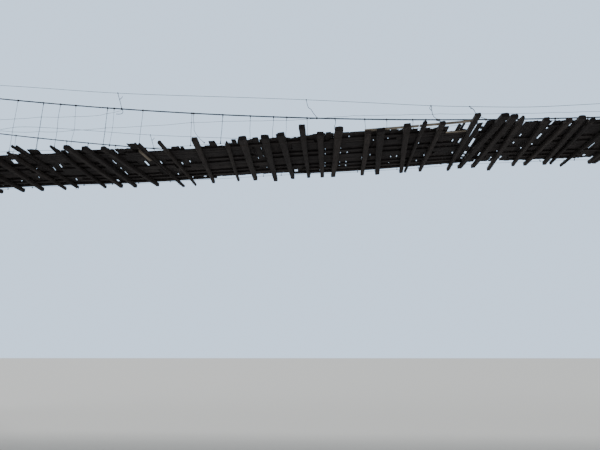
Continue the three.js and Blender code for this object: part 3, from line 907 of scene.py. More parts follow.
def add_timber(
    whole, start, end, width, top, thickness, tone,
    worn=0.006, ragged=(0.02, 0.02), taper=(1, 1), crook=0.0, pole=False, wedge=0.0,
):
    """Adds a plank or a pole from start to end, its upper side top above the deck's surface.
    It grows wider towards its end by wedge, a share of its width."""
    start, end = Vector(start), Vector(end)
    length = (end - start).length
    plank = round_pole(length, width, thickness) if pole else sawn(length, width, thickness, worn)
    grain, shade = plank.verts.layers.float_vector["grain"], plank.verts.layers.float["tone"]
    cuts = max(2, round(length / STEP_LENGTH)) - 1
    bmesh.ops.subdivide_edges(plank, edges=lengthwise(plank, length), cuts=cuts, use_grid_fill=True)
    shift = Vector([chance.uniform(-40, 40) for _ in range(3)])
    forward = (end - start) / length
    sideways = Vector((-forward.y, forward.x))
    middle = (start + end) / 2
    level = top - thickness / 2
    rough = min(MOST_ROUGH, thickness * 0.08)
    for vert in plank.verts:
        here = vert.co.copy()
        vert[grain] = here + shift
        vert[shade] = tone
        for side, lack, narrow in ((-1, ragged[0], taper[0]), (1, ragged[1], taper[1])):
            if here.x * side > length / 2 - 1e-4:
                bite = noise.noise(Vector((here.y * 14, side * 7, here.z * 3)) + shift)
                here.x -= side * lack * max(-0.3, bite + 0.25)
                here.y *= narrow
                here.z *= 0.5 + narrow / 2
        here.y *= 1 + wedge * here.x / length
        here += noise.noise_vector(vert[grain] * 5) * rough
        if crook:
            bend = noise.noise_vector(Vector((here.x * 0.7, 0, 0)) + shift)
            here.y += bend.y * crook
            here.z += bend.z * crook * 0.3
        place = middle + forward * here.x + sideways * here.y
        vert.co = (place.x, place.y, deck_top(place.x, place.y) + level + here.z)
    add_to(whole, plank)


timber, tree, shader = new_finish("weathered_timber", 0.88)
shader.inputs["Specular IOR Level"].default_value = 0.2
# Painted shade and real weathering: faces that point down take a near-black brown, darker than the wood
# itself, which paints shade on the undersides; faces that point up take the silver grey of sun-bleached
# wood
underside_painted_shade = tones(
    tree, (0.0, (0.017, 0.0135, 0.015)), (0.45, (0.031, 0.024, 0.024)), (0.8, (0.055, 0.043, 0.038)),
    (1.0, (0.4, 0.34, 0.27)),
)
silver = tones(
    tree, (0.0, (0.085, 0.075, 0.063)), (0.5, (0.15, 0.132, 0.11)), (1.0, (0.27, 0.235, 0.19))
)
facing_up = tree.nodes.new("ShaderNodeSeparateXYZ")
tree.links.new(tree.nodes.new("ShaderNodeNewGeometry").outputs["Normal"], facing_up.inputs[0])
# share of the bleached top colour by how far a face points up: real weathering on top, painted shade
# underneath
top_bleach_and_painted_shade_share = shades(tree, facing_up.outputs["Z"], (0.0, 0.06), (0.8, 1.0))
colour = layered(tree, top_bleach_and_painted_shade_share, underside_painted_shade, silver)
fibres = patches(tree, 0.005, (45, 1, 1), attribute="grain")
streaks = shades(tree, fibres, (0.3, 0.55), (0.65, 1.0))
dirt = shades(tree, patches(tree, 0.16, (2, 1, 1), attribute="grain"), (0.35, 0.55), (0.65, 1.0))
cracks = shades(
    tree, patches(tree, 0.022, (26, 1, 1), 3, "grain"), (0.46, 1.0), (0.5, 0.0), (0.54, 1.0)
)
for share, wear in ((0.9, streaks), (0.8, dirt), (0.6, cracks)):
    colour = layered(tree, share, colour, wear, "MULTIPLY")
coat(tree, shader, colour)
relief(tree, shader, fibres, 0.002)
relief(tree, shader, cracks, 0.003)

beams = [(way * beam[0], way * beam[1], *beam[2:]) for beam in SIDE_BEAMS for way in (-1, 1)]
beams = sorted(beams + list(MIDDLE_BEAMS))
crossbeams = new_timbers()
for near_x, far_x, near_reach, far_reach, width in beams:
    near, far = Vector((near_x, -near_reach)), Vector((far_x, far_reach))
    own_tone = chance.uniform(*BEAM_TONES)
    point = POINT_SHARE if abs(near_x) in POINTED else 1
    if abs(near_x) in TWIN_POLES:
        for way, short in ((-1, 0), (1, TWIN_SHORTER)):
            near_tip = near + Vector((way * TWIN_SPREAD[0], short))
            far_tip = far + Vector((way * TWIN_SPREAD[1], 0))
            add_timber(
                crossbeams, near_tip, far_tip, TWIN_WIDTH, BEAM_TOP, TWIN_DEPTH, own_tone,
                crook=0.012, pole=True, wedge=BEAM_WEDGE,
            )
        continue
    if width < ROUND_UP_TO:
        kind = {"taper": (point, 0.9), "crook": 0.02, "pole": True}
    else:
        kind = {"taper": (point, 1), "crook": 0.01, "worn": 0.016, "ragged": (0.05, 0.03)}
    add_timber(
        crossbeams, near, far, width * BEAM_SHARE, BEAM_TOP, BEAM_DEPTH, own_tone,
        wedge=BEAM_WEDGE, **kind,
    )
add_timber(crossbeams, *BLEACHED_PLANK, BEAM_TOP, BLEACHED_DEPTH, BLEACHED_TONE, worn=0.01)
finished_piece("crossbeams", crossbeams, [timber], "weathered_timber", *BAYS)

# Lengthwise planks: rows of split planks on the crossbeams, butted end to end over them,
# with an edge plank along the far side. Short lengths have broken out under the open
# joints of the boards above, so that light comes through.
LENGTHWISE_TOP = -0.029
LENGTHWISE_THICKNESS = 0.04
LENGTHWISE_ROWS = (
    (-1.04, 0.13), (-0.9, 0.13), (-0.685, 0.285), (-0.3015, 0.127), (0.057, 0.24), (0.301, 0.238),
    (0.646, 0.102), (0.935, 0.13),
)
FIRST_ROW_BREAK = (-2.16, -1.47)  # a bleached strip lies here in its place
BLEACHED_STRIP = ((-2.14, -0.995), (-1.49, -0.99), 0.04)  # both ends and width
PLANK_LENGTHS = (2.2, 4.4)
PLANK_TONES = (0, 0.3)
SHORTEST_PLANK = 0.3
PLANK_JOINT = 0.006  # at each end of a plank
BROKEN_END = 0.05
SAWN_END = 0.015
ROW_UNEVENNESS = 0.008
EDGE_PLANK_WIDTH = 0.13
EDGE_PLANK = (  # x, and y of its outer side
    (-16.5, 1.22), (-14.4, 1.22), (-13.4, 1.295), (-12.4, 1.295), (-11.9, 1.345), (-11.0, 1.34),
    (-9.8, 1.325), (-8.8, 1.28), (-6.1, 1.3), (-4.8, 1.24), (-3.0, 1.18), (9.0, 1.18), (10.0, 1.3),
    (16.5, 1.24),
)
EDGE_PLANK_BREAKS = (
    (-8.7, -6.33), (-0.93, -0.53), (-0.42, -0.02), (-0.17, 0.23), (2.34, 2.74), (2.66, 3.06),
)
# how far the boards lean along the bridge for each metre across it
BOARD_LEAN = (
    (-16.5, 0), (-15.4, 0), (-14.6, -0.22), (-12.8, -0.2), (-12.2, 0), (-0.6, 0), (-0.3, -0.05),
    (-0.12, -0.05), (0.2, 0), (16.5, 0),
)
# open joints in the layer of boards above: x, width, and the stretches of y that let light in
OPEN_JOINTS = (
    (-14.54, 0.05, ((-0.79, -0.51), (0.79, 0.82))), (-14.22, 0.12, ((-0.78, -0.51),)),
    (-13.94, 0.025, ((0.58, 0.64),)), (-13.79, 0.05, ((-0.08, -0.01),)),
    (-13.27, 0.03, ((-0.12, 0.1),)), (-13.02, 0.04, ((-0.3, -0.1),)), (-12.86, 0.042, ((0.85, 0.98),)),
    (-11.83, 0.07, ((1.05, 1.14),)), (-11.33, 0.032, ((-0.5, -0.27), (0.06, 0.14), (0.38, 0.63))),
    (-10.98, 0.03, ((-1.4, -1.02),)), (-10.46, 0.052, ((-0.36, -0.04),)),
    (-10.04, 0.035, ((-0.3, -0.15), (0.36, 0.45), (0.72, 0.81))), (-9.83, 0.031, ((0.75, 0.83),)),
    (-9.47, 0.033, ((-0.18, -0.01), (1.07, 1.17))), (-9.22, 0.027, ((-0.22, -0.13),)),
    (-9.08, 0.08, ((1.07, 1.15),)), (-8.84, 0.025, ((-0.23, -0.15),)),
    (-7.26, 0.012, ((-0.13, -0.02),)), (-7.1, 0.01, ((-0.79, -0.69), (-0.22, -0.19), (0.71, 0.75))),
    (-6.47, 0.024, ((-0.92, -0.77),)), (-6.23, 0.1, ((1.03, 1.15),)), (-5.5, 0.007, ((0.79, 0.84),)),
    (-5.43, 0.024, ((-1.16, -0.98),)),
    (-5.335, 0.01, ((-0.43, -0.38), (-0.11, -0.06), (0.56, 0.61), (0.8, 0.85))),
    (-5.12, 0.011, ((0.82, 0.88),)),
    (-4.9, 0.011, ((-1.12, -1.09), (-0.44, -0.39), (-0.15, -0.08), (0.56, 0.6), (0.81, 0.86))),
    (-4.71, 0.02, ((-1.15, -1.09), (-0.14, -0.09), (0.53, 0.6), (0.8, 0.9))),
    (-4.26, 0.015, ((-0.4, -0.33), (0.31, 0.42))), (-4.03, 0.016, ((-0.82, -0.78), (0.12, 0.19))),
    (-3.64, 0.017, ((-0.86, -0.81),)), (-3.4, 0.018, ((0.37, 0.44), (0.85, 0.91))),
    (-3.23, 0.019, ((0.36, 0.43),)), (-2.73, 0.021, ((-0.42, -0.37),)),
    (-2.57, 0.023, ((0.82, 0.88),)), (-2.41, 0.023, ((0.44, 0.49),)),
    (-1.79, 0.027, ((-0.46, -0.34),)), (-1.58, 0.038, ((-0.47, -0.25), (0.43, 0.48))),
    (-1.38, 0.03, ((-1.4, -0.58),)),
    (-1.19, 0.062, ((-1.23, -1.17), (-0.98, -0.92), (-0.41, 0.07), (0.45, 0.55), (0.67, 0.76),
        (0.9, 0.95))), (-0.73, 0.031, ((0.59, 0.78), (1.09, 1.15))),
    (-0.22, 0.052, ((-1.27, -1.13), (-1.04, -0.82), (-0.67, -0.64), (-0.09, -0.04),
        (0.48, 0.54), (0.98, 1.12))), (0.03, 0.044, ((-0.55, -0.47), (-0.05, 0.0), (0.93, 1.17))),
    (0.38, 0.036, ((-1.24, -1.18), (-0.94, -0.89), (0.33, 0.38))),
    (0.6, 0.049, ((-1.27, -1.08), (-0.91, -0.87), (-0.53, -0.26), (0.09, 0.13))),
    (1.13, 0.072, ((-1.09, -0.99),)), (1.39, 0.04, ((-1.04, -0.92), (-0.76, -0.71))),
    (2.41, 0.035, ((0.2, 0.55),)), (2.54, 0.086, ((1.03, 1.15),)), (2.86, 0.088, ((1.1, 1.15),)),
    (4.4, 0.05, ((-0.9, -0.7), (0.5, 0.6))), (5.9, 0.05, ((-0.4, 0.1),)), (7.8, 0.06, ((0.72, 0.86),)),
    (9.6, 0.07, ((0.2, 0.6),)), (11.4, 0.06, ((-0.35, -0.1), (0.45, 0.6))),
    (13.4, 0.09, ((-0.6, -0.2),)),
)
SIGHT_THROUGH_PLANKS = 0.093  # how much nearer an open joint is seen through this layer
SIGHT_OVERLAP = 0.04  # a row that covers less of a stretch than this stays whole
BREAK_REACH = 0.2


def straight(stations, x):
    """A value read at x from (x, value) pairs joined by straight lines, and its slope."""
    for (x0, a), (x1, b) in zip(stations, stations[1:]):
        if x0 <= x <= x1:
            return a + (b - a) * (x - x0) / (x1 - x0), (b - a) / (x1 - x0)


def broken_out(low_y, high_y):
    """The stretches of x over which a row that lies between two values of y is gone."""
    gone = []
    for x, _, stretches in OPEN_JOINTS:
        for y0, y1 in stretches:
            if min(high_y, y1) - max(low_y, y0 - SIGHT_THROUGH_PLANKS) > SIGHT_OVERLAP:
                middle = x + straight(BOARD_LEAN, x)[0] * (y0 + y1) / 2
                gone.append((middle - BREAK_REACH, middle + BREAK_REACH))
    return gone


def lay_row(whole, gone, y_at, width, unevenness):
    """Lays a row of planks from bank to bank, but for the stretches that are gone."""
    left, start = [], -DECK_HALF_LENGTH
    for x0, x1 in sorted(gone) + [(DECK_HALF_LENGTH, DECK_HALF_LENGTH)]:
        if x0 - start > SHORTEST_PLANK:
            left.append((start, x0))
        start = max(start, x1)
    for first, last in left:
        cuts = [first]
        wanted = chance.uniform(*PLANK_LENGTHS)
        for x in sorted(beam_x(beam, y_at(first)) for beam in beams):
            if cuts[-1] + wanted < x < last - SHORTEST_PLANK:
                cuts.append(x)
                wanted = chance.uniform(*PLANK_LENGTHS)
        for x0, x1 in zip(cuts, [*cuts[1:], last]):
            drift = chance.uniform(-1, 1) * unevenness
            broken = [x in (first, last) and abs(x) < DECK_HALF_LENGTH for x in (x0, x1)]
            add_timber(
                whole, (x0 + PLANK_JOINT, y_at(x0) + drift), (x1 - PLANK_JOINT, y_at(x1) - drift),
                width * (1 - chance.uniform(0, 4) * unevenness), LENGTHWISE_TOP,
                LENGTHWISE_THICKNESS, chance.uniform(*PLANK_TONES),
                ragged=[BROKEN_END if end else SAWN_END for end in broken],
            )


lengthwise_planks = new_timbers()
for row in LENGTHWISE_ROWS:
    y, width = row
    gone = broken_out(y - width / 2, y + width / 2)
    if row == LENGTHWISE_ROWS[0]:
        gone.append(FIRST_ROW_BREAK)
    lay_row(lengthwise_planks, gone, lambda _: y, width, ROW_UNEVENNESS)
add_timber(
    lengthwise_planks, *BLEACHED_STRIP, LENGTHWISE_TOP, LENGTHWISE_THICKNESS, 1.0, worn=0.01
)
lay_row(
    lengthwise_planks, EDGE_PLANK_BREAKS,
    lambda x: straight(EDGE_PLANK, x)[0] - EDGE_PLANK_WIDTH / 2, EDGE_PLANK_WIDTH, 0,
)
finished_piece("lengthwise_planks", lengthwise_planks, [timber], "weathered_timber", *BAYS)

# Cross planks: short boards of many widths nailed over the lengthwise planks, with ragged
# ends on the near side. They make the walking surface. Where a joint between them stands
# open, short strips close the rest of it.
NAIL_ROWS = (-1.04, -0.68, -0.3, 0.06, 0.36, 0.935)
NAIL_RADIUS = 0.0055
NAIL_HEAD = 0.0035
NAIL_FROM_EDGE = 0.028
NAIL_STRAY = 0.012
BOARD_THICKNESS = 0.028
BOARD_WIDTH = 0.18
NARROWEST_BOARD = 0.035
BOARD_SHARES = (0.6, 1.4)  # of an even share of the room
BOARD_LIFT = (-0.001, 0.004)
BOARD_EDGE = 0.004
# x, and how far the boards reach on the far side and on the near side
FAR_EDGE = (
    (-16.5, 1.2), (-13.6, 1.21), (-13.2, 1.25), (-9.0, 1.25), (-8.7, 1.26), (-6.4, 1.27), (-3.0, 1.27),
    (-2.2, 1.29), (-1.5, 1.31), (-1.0, 1.27), (0.3, 1.3), (2.2, 1.31), (3.0, 1.25), (16.5, 1.19),
)
NEAR_EDGE = (
    (-16.5, 1.14), (-14.7, 1.1), (-14.45, 0.9), (-14.1, 0.93), (-13.9, 1.1), (-13.6, 1.05),
    (-13.44, 0.96), (-13.15, 1.05), (-13.0, 0.88), (-12.85, 0.88), (-12.7, 1.06), (-12.54, 1.18),
    (-12.35, 1.24), (-12.3, 1.2), (-12.22, 1.0), (-12.06, 1.02), (-12.0, 1.24), (-11.6, 1.26),
    (-11.2, 1.24), (-10.9, 1.27), (-10.5, 1.29), (-10.42, 1.06), (-10.28, 1.04), (-10.2, 0.8),
    (-9.95, 0.82), (-9.9, 1.0), (-9.72, 1.04), (-9.66, 1.1), (-9.5, 1.17), (-9.3, 1.25), (-9.15, 1.07),
    (-8.95, 0.94), (-8.8, 1.0), (-8.72, 1.18), (-8.62, 1.22), (-8.3, 1.22), (-8.16, 1.12),
    (-7.95, 1.13), (-7.86, 1.3), (-7.76, 1.44), (-7.3, 1.41), (-7.2, 1.39), (-7.12, 1.15),
    (-6.95, 1.3), (-6.8, 1.36), (-6.69, 1.33), (-6.55, 1.53), (-6.45, 1.5), (-6.38, 1.25), (-6.3, 1.2),
    (-6.22, 1.24), (-6.05, 1.26), (-5.7, 1.34), (-3.9, 1.33), (-3.4, 1.27), (-3.2, 1.24),
    (-2.92, 1.25), (-2.86, 1.14), (-2.78, 1.14), (-2.72, 1.27), (-2.6, 1.27), (-2.56, 1.2),
    (-2.48, 1.2), (-2.44, 1.28), (-2.15, 1.28), (-2.1, 0.96), (-1.83, 0.96), (-1.8, 1.3), (-1.77, 1.3),
    (-1.74, 1.0), (-1.55, 1.02), (-1.44, 1.12), (-1.32, 1.28), (-1.15, 1.3), (-1.05, 1.4),
    (-0.65, 1.4), (-0.5, 1.28), (1.5, 1.25), (3.0, 1.16), (16.5, 1.14),
)
LONG_BOARDS = (  # x, reach on the near side and width of boards that stick out
    (-13.49, 1.34, 0.2), (-13.33, 1.3, 0.06), (-11.16, 1.43, 0.14), (-9.335, 1.26, 0.19),
    (-9.17, 1.26, 0.06), (-8.49, 1.2, 0.14), (-8.32, 1.46, 0.19), (-7.182, 1.42, 0.132),
    (-5.255, 1.4, 0.13), (-3.54, 1.4, 0.13), (-3.13, 1.41, 0.09), (-1.845, 1.34, 0.07),
    (-1.735, 1.42, 0.08), (4.6, 1.5, 0.14), (6.54, 1.55, 0.14), (8.3, 1.6, 0.18), (10.9, 1.58, 0.13),
    (13.35, 1.5, 0.18),
)
LOOSE_BOARDS = ((-10.44, -1.52, -0.86, 0.2),)  # x, both ends and width, nailed on top
EVEN_ENDS = (-5.7, -3.4)  # from where to where the near ends are nearly in line
RAGGED_FROM = 3  # from here to the right bank the near ends are more uneven
EVEN, UNEVEN, RAGGED = 0.012, 0.025, 0.06
WORN_EVEN, WORN_ROUGH = 0.012, 0.05  # how far the near ends are worn back
WORN_FAR = 0.02
FAR_STRAY = (-0.03, 0.01)
LONG_REACH = 1.4
LONG_TIPS = (1, 1, 0.85, 0.6)  # shares of the width, left at the tip of a long board
NEAR_OVERHANG = 1.1
TIGHTEST_X = -5.5
WIDEST_JOINT = 0.009
JOINT_GROWTH = 0.004  # for each metre from the tightest place
JOINT_SHUT = 0.006  # of this growth, before a joint opens
JOINT_STRAY = 0.001
LOW_CABLE = (-0.6, 3)  # from where to where the boards' ends come up beside the cable
REACH_TO_CABLE = 1.3
REACH_TO_HANGER = 1.325
HANGER_ROOM = 0.035
FILLER_GAP = 0.03  # from a filler strip to the boards' near ends
FILLER_SHORT = 0.02  # of their far ends
FILLER_WORN = (0.02, 0.008)
SHORTEST_FILLER = 0.05
SIGHT_THROUGH_BOARDS = 0.064
HANGERS = (  # distances from mid-span at which a wire hanger comes down to the deck
    0.57, 1.4, 2.37, 3.05, 3.73, 4.3, 5.08, 5.82, 6.36, 6.71, 7.33, 8.07, 8.91, 10.25, 11.23, 12.12,
    13.03, 13.76, 14.7, 15.5,
)


def near_raggedness(x):
    """How uneven the boards' near ends are round x."""
    if EVEN_ENDS[0] < x < EVEN_ENDS[1]:
        return EVEN
    return UNEVEN if x < RAGGED_FROM else RAGGED


def near_edge(x):
    """How far the boards round x reach on the near side, where they may lean over a little."""
    return straight(NEAR_EDGE, x - straight(BOARD_LEAN, x)[0] * NEAR_OVERHANG)[0]


def plain_joint(x):
    """The width of an ordinary joint, tightest round one place left of the middle."""
    growth = JOINT_GROWTH * abs(x - TIGHTEST_X) - JOINT_SHUT
    return min(WIDEST_JOINT, max(0, growth)) + chance.uniform(0, JOINT_STRAY)


def clear_reach(x, width, reach):
    """A board's reach on the near side, cut short by the cable and by the hangers."""
    if LOW_CABLE[0] < x < LOW_CABLE[1]:
        reach = min(reach, REACH_TO_CABLE)
    if any(abs(abs(x) - hanger) < width / 2 + HANGER_ROOM for hanger in HANGERS):
        reach = min(reach, REACH_TO_HANGER)
    return reach


def add_board(x, width, near_end, far_end, tone, ragged, taper=(1, 1), lift=0.0):
    """A board across the deck that leans and widens as its place in the deck asks, with its
    nails over the lengthwise planks."""
    lean, fan = straight(BOARD_LEAN, x)
    start, end = (x + lean * near_end, near_end), (x + lean * far_end, far_end)
    width *= 1 + fan * (near_end + far_end) / 2
    top = lift + chance.uniform(*BOARD_LIFT)
    add_timber(
        cross_planks, start, end, width, top, BOARD_THICKNESS, tone,
        worn=BOARD_EDGE, ragged=ragged, taper=taper, wedge=fan * (far_end - near_end),
    )
    nails = bmesh.new()
    for row in NAIL_ROWS:
        if not near_end + NAIL_FROM_EDGE < row < far_end - NAIL_FROM_EDGE:
            continue
        for way in (-1, 1) if width > 4 * NAIL_FROM_EDGE else (0,):
            stray = noise.noise_vector(Vector((x, row, way)) * 9) * NAIL_STRAY
            nail_x = x + lean * row + way * (width / 2 - NAIL_FROM_EDGE) + stray.x
            nail_y = row + stray.y
            place = Vector((nail_x, nail_y, deck_top(nail_x, nail_y) + top + NAIL_HEAD / 4))
            bmesh.ops.create_cone(
                nails, cap_ends=True, segments=6, radius1=NAIL_RADIUS, radius2=NAIL_RADIUS / 2,
                depth=NAIL_HEAD, matrix=Matrix.Translation(place),
            )
    add_to(nail_heads, nails)


cross_planks = new_timbers()
nail_heads = bmesh.new()
features = [(x - gap / 2, x + gap / 2, None) for x, gap, _ in OPEN_JOINTS]
features += [(x - width / 2, x + width / 2, reach) for x, reach, width in LONG_BOARDS]
features.append((DECK_HALF_LENGTH, DECK_HALF_LENGTH, None))
boards = []  # x, width and reach on the near side
at = -DECK_HALF_LENGTH + 0.004
for x0, x1, reach in sorted(features, key=lambda feature: feature[0]):
    room = x0 - at
    if 0 < room < NARROWEST_BOARD:
        if reach:
            x0 = at
        else:
            x, width, near_end = boards.pop()
            boards.append((x + room / 2, width + room, near_end))
        room = 0
    count = max(1, round(room / BOARD_WIDTH)) if room > 0 else 0
    shares = [chance.uniform(*BOARD_SHARES) for _ in range(count)]
    for share in shares:
        width = room * share / sum(shares)
        x = at + width / 2
        near_end = near_edge(x) + chance.uniform(-1, 1) * near_raggedness(x)
        boards.append((x, width - plain_joint(x), near_end))
        at += width
    if reach:
        boards.append(((x0 + x1) / 2, x1 - x0 - plain_joint(x0), reach))
    at = x1
for x, width, reach in boards:
    reach = clear_reach(x, width, reach)
    worn_near = WORN_EVEN if near_raggedness(x) == EVEN else WORN_ROUGH
    tip = chance.choice(LONG_TIPS) if reach > LONG_REACH else 1
    add_board(
        x, width, -reach, along(FAR_EDGE, x) + chance.uniform(*FAR_STRAY),
        chance.uniform(*PLANK_TONES), (worn_near, WORN_FAR), (tip, 1),
    )
for x, gap, stretches in OPEN_JOINTS:
    closed_from = FILLER_GAP - near_edge(x)
    for y0, y1 in (*stretches, (along(FAR_EDGE, x) - FILLER_SHORT, 0)):
        if y0 - closed_from > SHORTEST_FILLER:
            width = gap - plain_joint(x)
            add_board(x, width, closed_from, y0, chance.uniform(*PLANK_TONES), FILLER_WORN)
        closed_from = y1 + SIGHT_THROUGH_BOARDS
for x, near_end, far_end, width in LOOSE_BOARDS:
    add_board(x, width, near_end, far_end, 0.2, (0.06, 0.03), lift=BOARD_THICKNESS + 0.003)
finished_piece("cross_planks", cross_planks, [timber], "weathered_timber", *BAYS)
finished_piece("nail_heads", nail_heads, [iron], "rusty_iron")

# Edge poles: split poles that lie on the crossbeams' tips along the near side, outside the
# hangers, both bleached nearly white.
EDGE_POLE_DEPTH = 0.048
EDGE_POLES = (  # both ends, width and tone
    ((-4.33, -1.445), (-2.93, -1.47), 0.07, 1.0), ((-2.91, -1.475), (-1.45, -1.535), 0.075, 1.0),
)
edge_poles = new_timbers()
for start, end, width, own_tone in EDGE_POLES:
    top = BEAM_TOP + EDGE_POLE_DEPTH + 0.0005
    add_timber(
        edge_poles, start, end, width, top, EDGE_POLE_DEPTH, own_tone, worn=0.013, crook=0.006
    )
finished_piece("edge_poles", edge_poles, [timber], "weathered_timber", *BAYS)

# Side nets: wires that hang from the main cables and carry the crossbeams by an edge rope.
# The hangers are twisted pairs or single wires, wound round the cable and knotted by hand,
# and a side wire is tied across them.
NET_Y = 1.367
EDGE_ROPE_ABOVE_BEAM = 0.0095
THICK_HANGERS = (13.03, 11.23, 8.07, 5.08)
BENT_HANGERS = (5.08, 1.4, 12.12)
EXTRA_WIRES = (  # points (x, z) of more wires in the net at the near left
    ((-12.55, 2.269), (-12.57, 1.86), (-12.54, 1.45), (-12.56, 1.0)),
    ((-11.05, 2.111), (-11.03, 1.56), (-11.07, 1.01)),
    ((-8.86, 1.917), (-8.86, 1.72), (-8.83, 1.57), (-8.82, 1.38), (-8.66, 1.17), (-8.53, 1.05)),
    ((-2.71, 1.601), (-2.70, 1.48), (-2.72, 1.36)),
)
# points of both side wires: distance from mid-span, and height
SIDE_WIRE = (
    (0, 1.72), (2.57, 1.745), (4.6, 1.74), (6.36, 1.645), (8.07, 1.66), (8.91, 1.63), (10.25, 1.56),
    (11.35, 1.515), (12.56, 1.44), (13.76, 1.455), (14.7, 1.595), (16.54, 1.655),
)
UPPER_SIDE_WIRE = (
    (10.85, 2.02), (11.45, 1.895), (12.12, 1.875), (13.03, 1.88), (14.24, 1.825), (16.54, 1.805),
)
PAIR_WIRE = 0.0045
SINGLE_WIRE = 0.005
SIDE_WIRE_RADIUS = 0.0048
ROPE_STRAND = 0.0028
TIE_WIRE = 0.0022
KNOT_RADIUS = 0.0105
KNOT_TURNS = 2.75
KNOT_PITCH = 2.3  # of the wire's radius
BINDING = (5, 0.009)  # turns and pitch
BINDING_FROM_KNOT = 0.035
PAIR_LAY = (0.085, 5)  # length and steps of one turn
ROPE_LAY = (ROPE_STRAND * 0.9, 0.1, 5)  # radius, length and steps of one turn
CABLE_TIE = (CABLE_RADIUS + 0.0045, 0.009)  # radius and pitch of a wire's turns round the cable
UPPER_TIE_WIRE = 0.0036
UPPER_TIE_TURNS = 3.25
END_FROM_TIE = 0.01  # from the last tie to the end of a side wire
EYE_FROM_TIE = 0.012
WIRE_EYE = 0.016
WIRE_EYE_ROD = 0.004
ROPE_PAST_DECK = 0.011
MIDDLE_GAP = 0.0005  # between the two halves
ROPE_STEPS = 66
LEAST_TIP = 0.012  # of a crossbeam outside the net, for a lashing to hold on to
LASHING_WIRE = TIE_WIRE * 1.2
LASHING_PITCH = 0.008
LASHING_ROOM = 0.004
HANGER_STRAY = 0.04
FOOT_STRAY = 0.03
BEND_PLACES = (0.3, 0.55, 0.8)  # along a hanger
HANGER_BEND = 0.008
STRONG_BEND = 0.035
BEND_ACROSS = 0.006
WIRE_STRAY = 0.008
SAG = 0.012  # for each metre between two ties
CROSSING_TIE = (0.0085, 3, 0.007)  # radius, turns and pitch
CROSSING_SLANT = Vector((0.5, 0, 1))


def winding(centre, axis, radius, turns, pitch, first=0.0, steps=8):
    """Points of a wire wound round an axis, with its middle at the centre."""
    axis = axis.normalized()
    side = axis.cross(Vector((0, 1, 0)) if abs(axis.y) < 0.7 else Vector((0, 0, 1))).normalized()
    across = axis.cross(side)
    count = round(turns * steps)
    points = []
    for i in range(count + 1):
        angle = first + 2 * math.pi * i / steps
        off = (side * math.cos(angle) + across * math.sin(angle)) * radius
        points.append(centre + axis * pitch * (i / steps - turns / 2) + off)
    return points


def on_cable(x, y):
    """The middle of a main cable at x."""
    return Vector((x, y, cable_height(x)))


def cable_way(x):
    """The way that a main cable runs at x."""
    return Vector((1, 0, 2 * CABLE_RISE * x))


def hanging_wire(points, thick, lines):
    """A hanger: knotted round the cable at its top and the edge rope at its bottom."""
    wire = PAIR_WIRE if thick else SINGLE_WIRE
    top, bottom = points[0], points[-1]
    coil, knot = CABLE_RADIUS + wire + 0.001, KNOT_RADIUS + wire
    pitch = KNOT_PITCH * wire
    lines.append((winding(top, cable_way(top.x), coil, KNOT_TURNS, pitch, 1.0), wire))
    lines.append((winding(bottom, Vector((1, 0, 0)), knot, KNOT_TURNS, pitch, 2.0), wire))
    down, up = (points[1] - top).normalized(), (points[-2] - bottom).normalized()
    start, end = top + down * (coil - wire), bottom + up * (knot - wire)
    run = eased([start, *points[1:-1], end], 1)
    lines += [(line, wire) for line in laid(run, 2, wire, *PAIR_LAY)] if thick else [(run, wire)]
    bound = (wire * 2 if thick else wire) + TIE_WIRE
    for place, way in ((start, down), (end, up)):
        middle = place + way * BINDING_FROM_KNOT
        lines.append((winding(middle, way, bound, *BINDING, steps=6), TIE_WIRE))


def edge_rope_height(x, y):
    """The height of the edge rope, which lies on the crossbeams' tips."""
    return deck_top(x, y) + BEAM_TOP + EDGE_ROPE_ABOVE_BEAM


wire_finish, tree, shader = new_finish("dull_wire", 0.6, 0.6)
dull = shades(
    tree, patches(tree, 0.12, detail=8), (0.35, (0.03, 0.027, 0.025)), (0.55, (0.055, 0.045, 0.038)),
    (0.75, (0.11, 0.065, 0.04)),
)
coat(tree, shader, dull, (0.002, 0.0003))

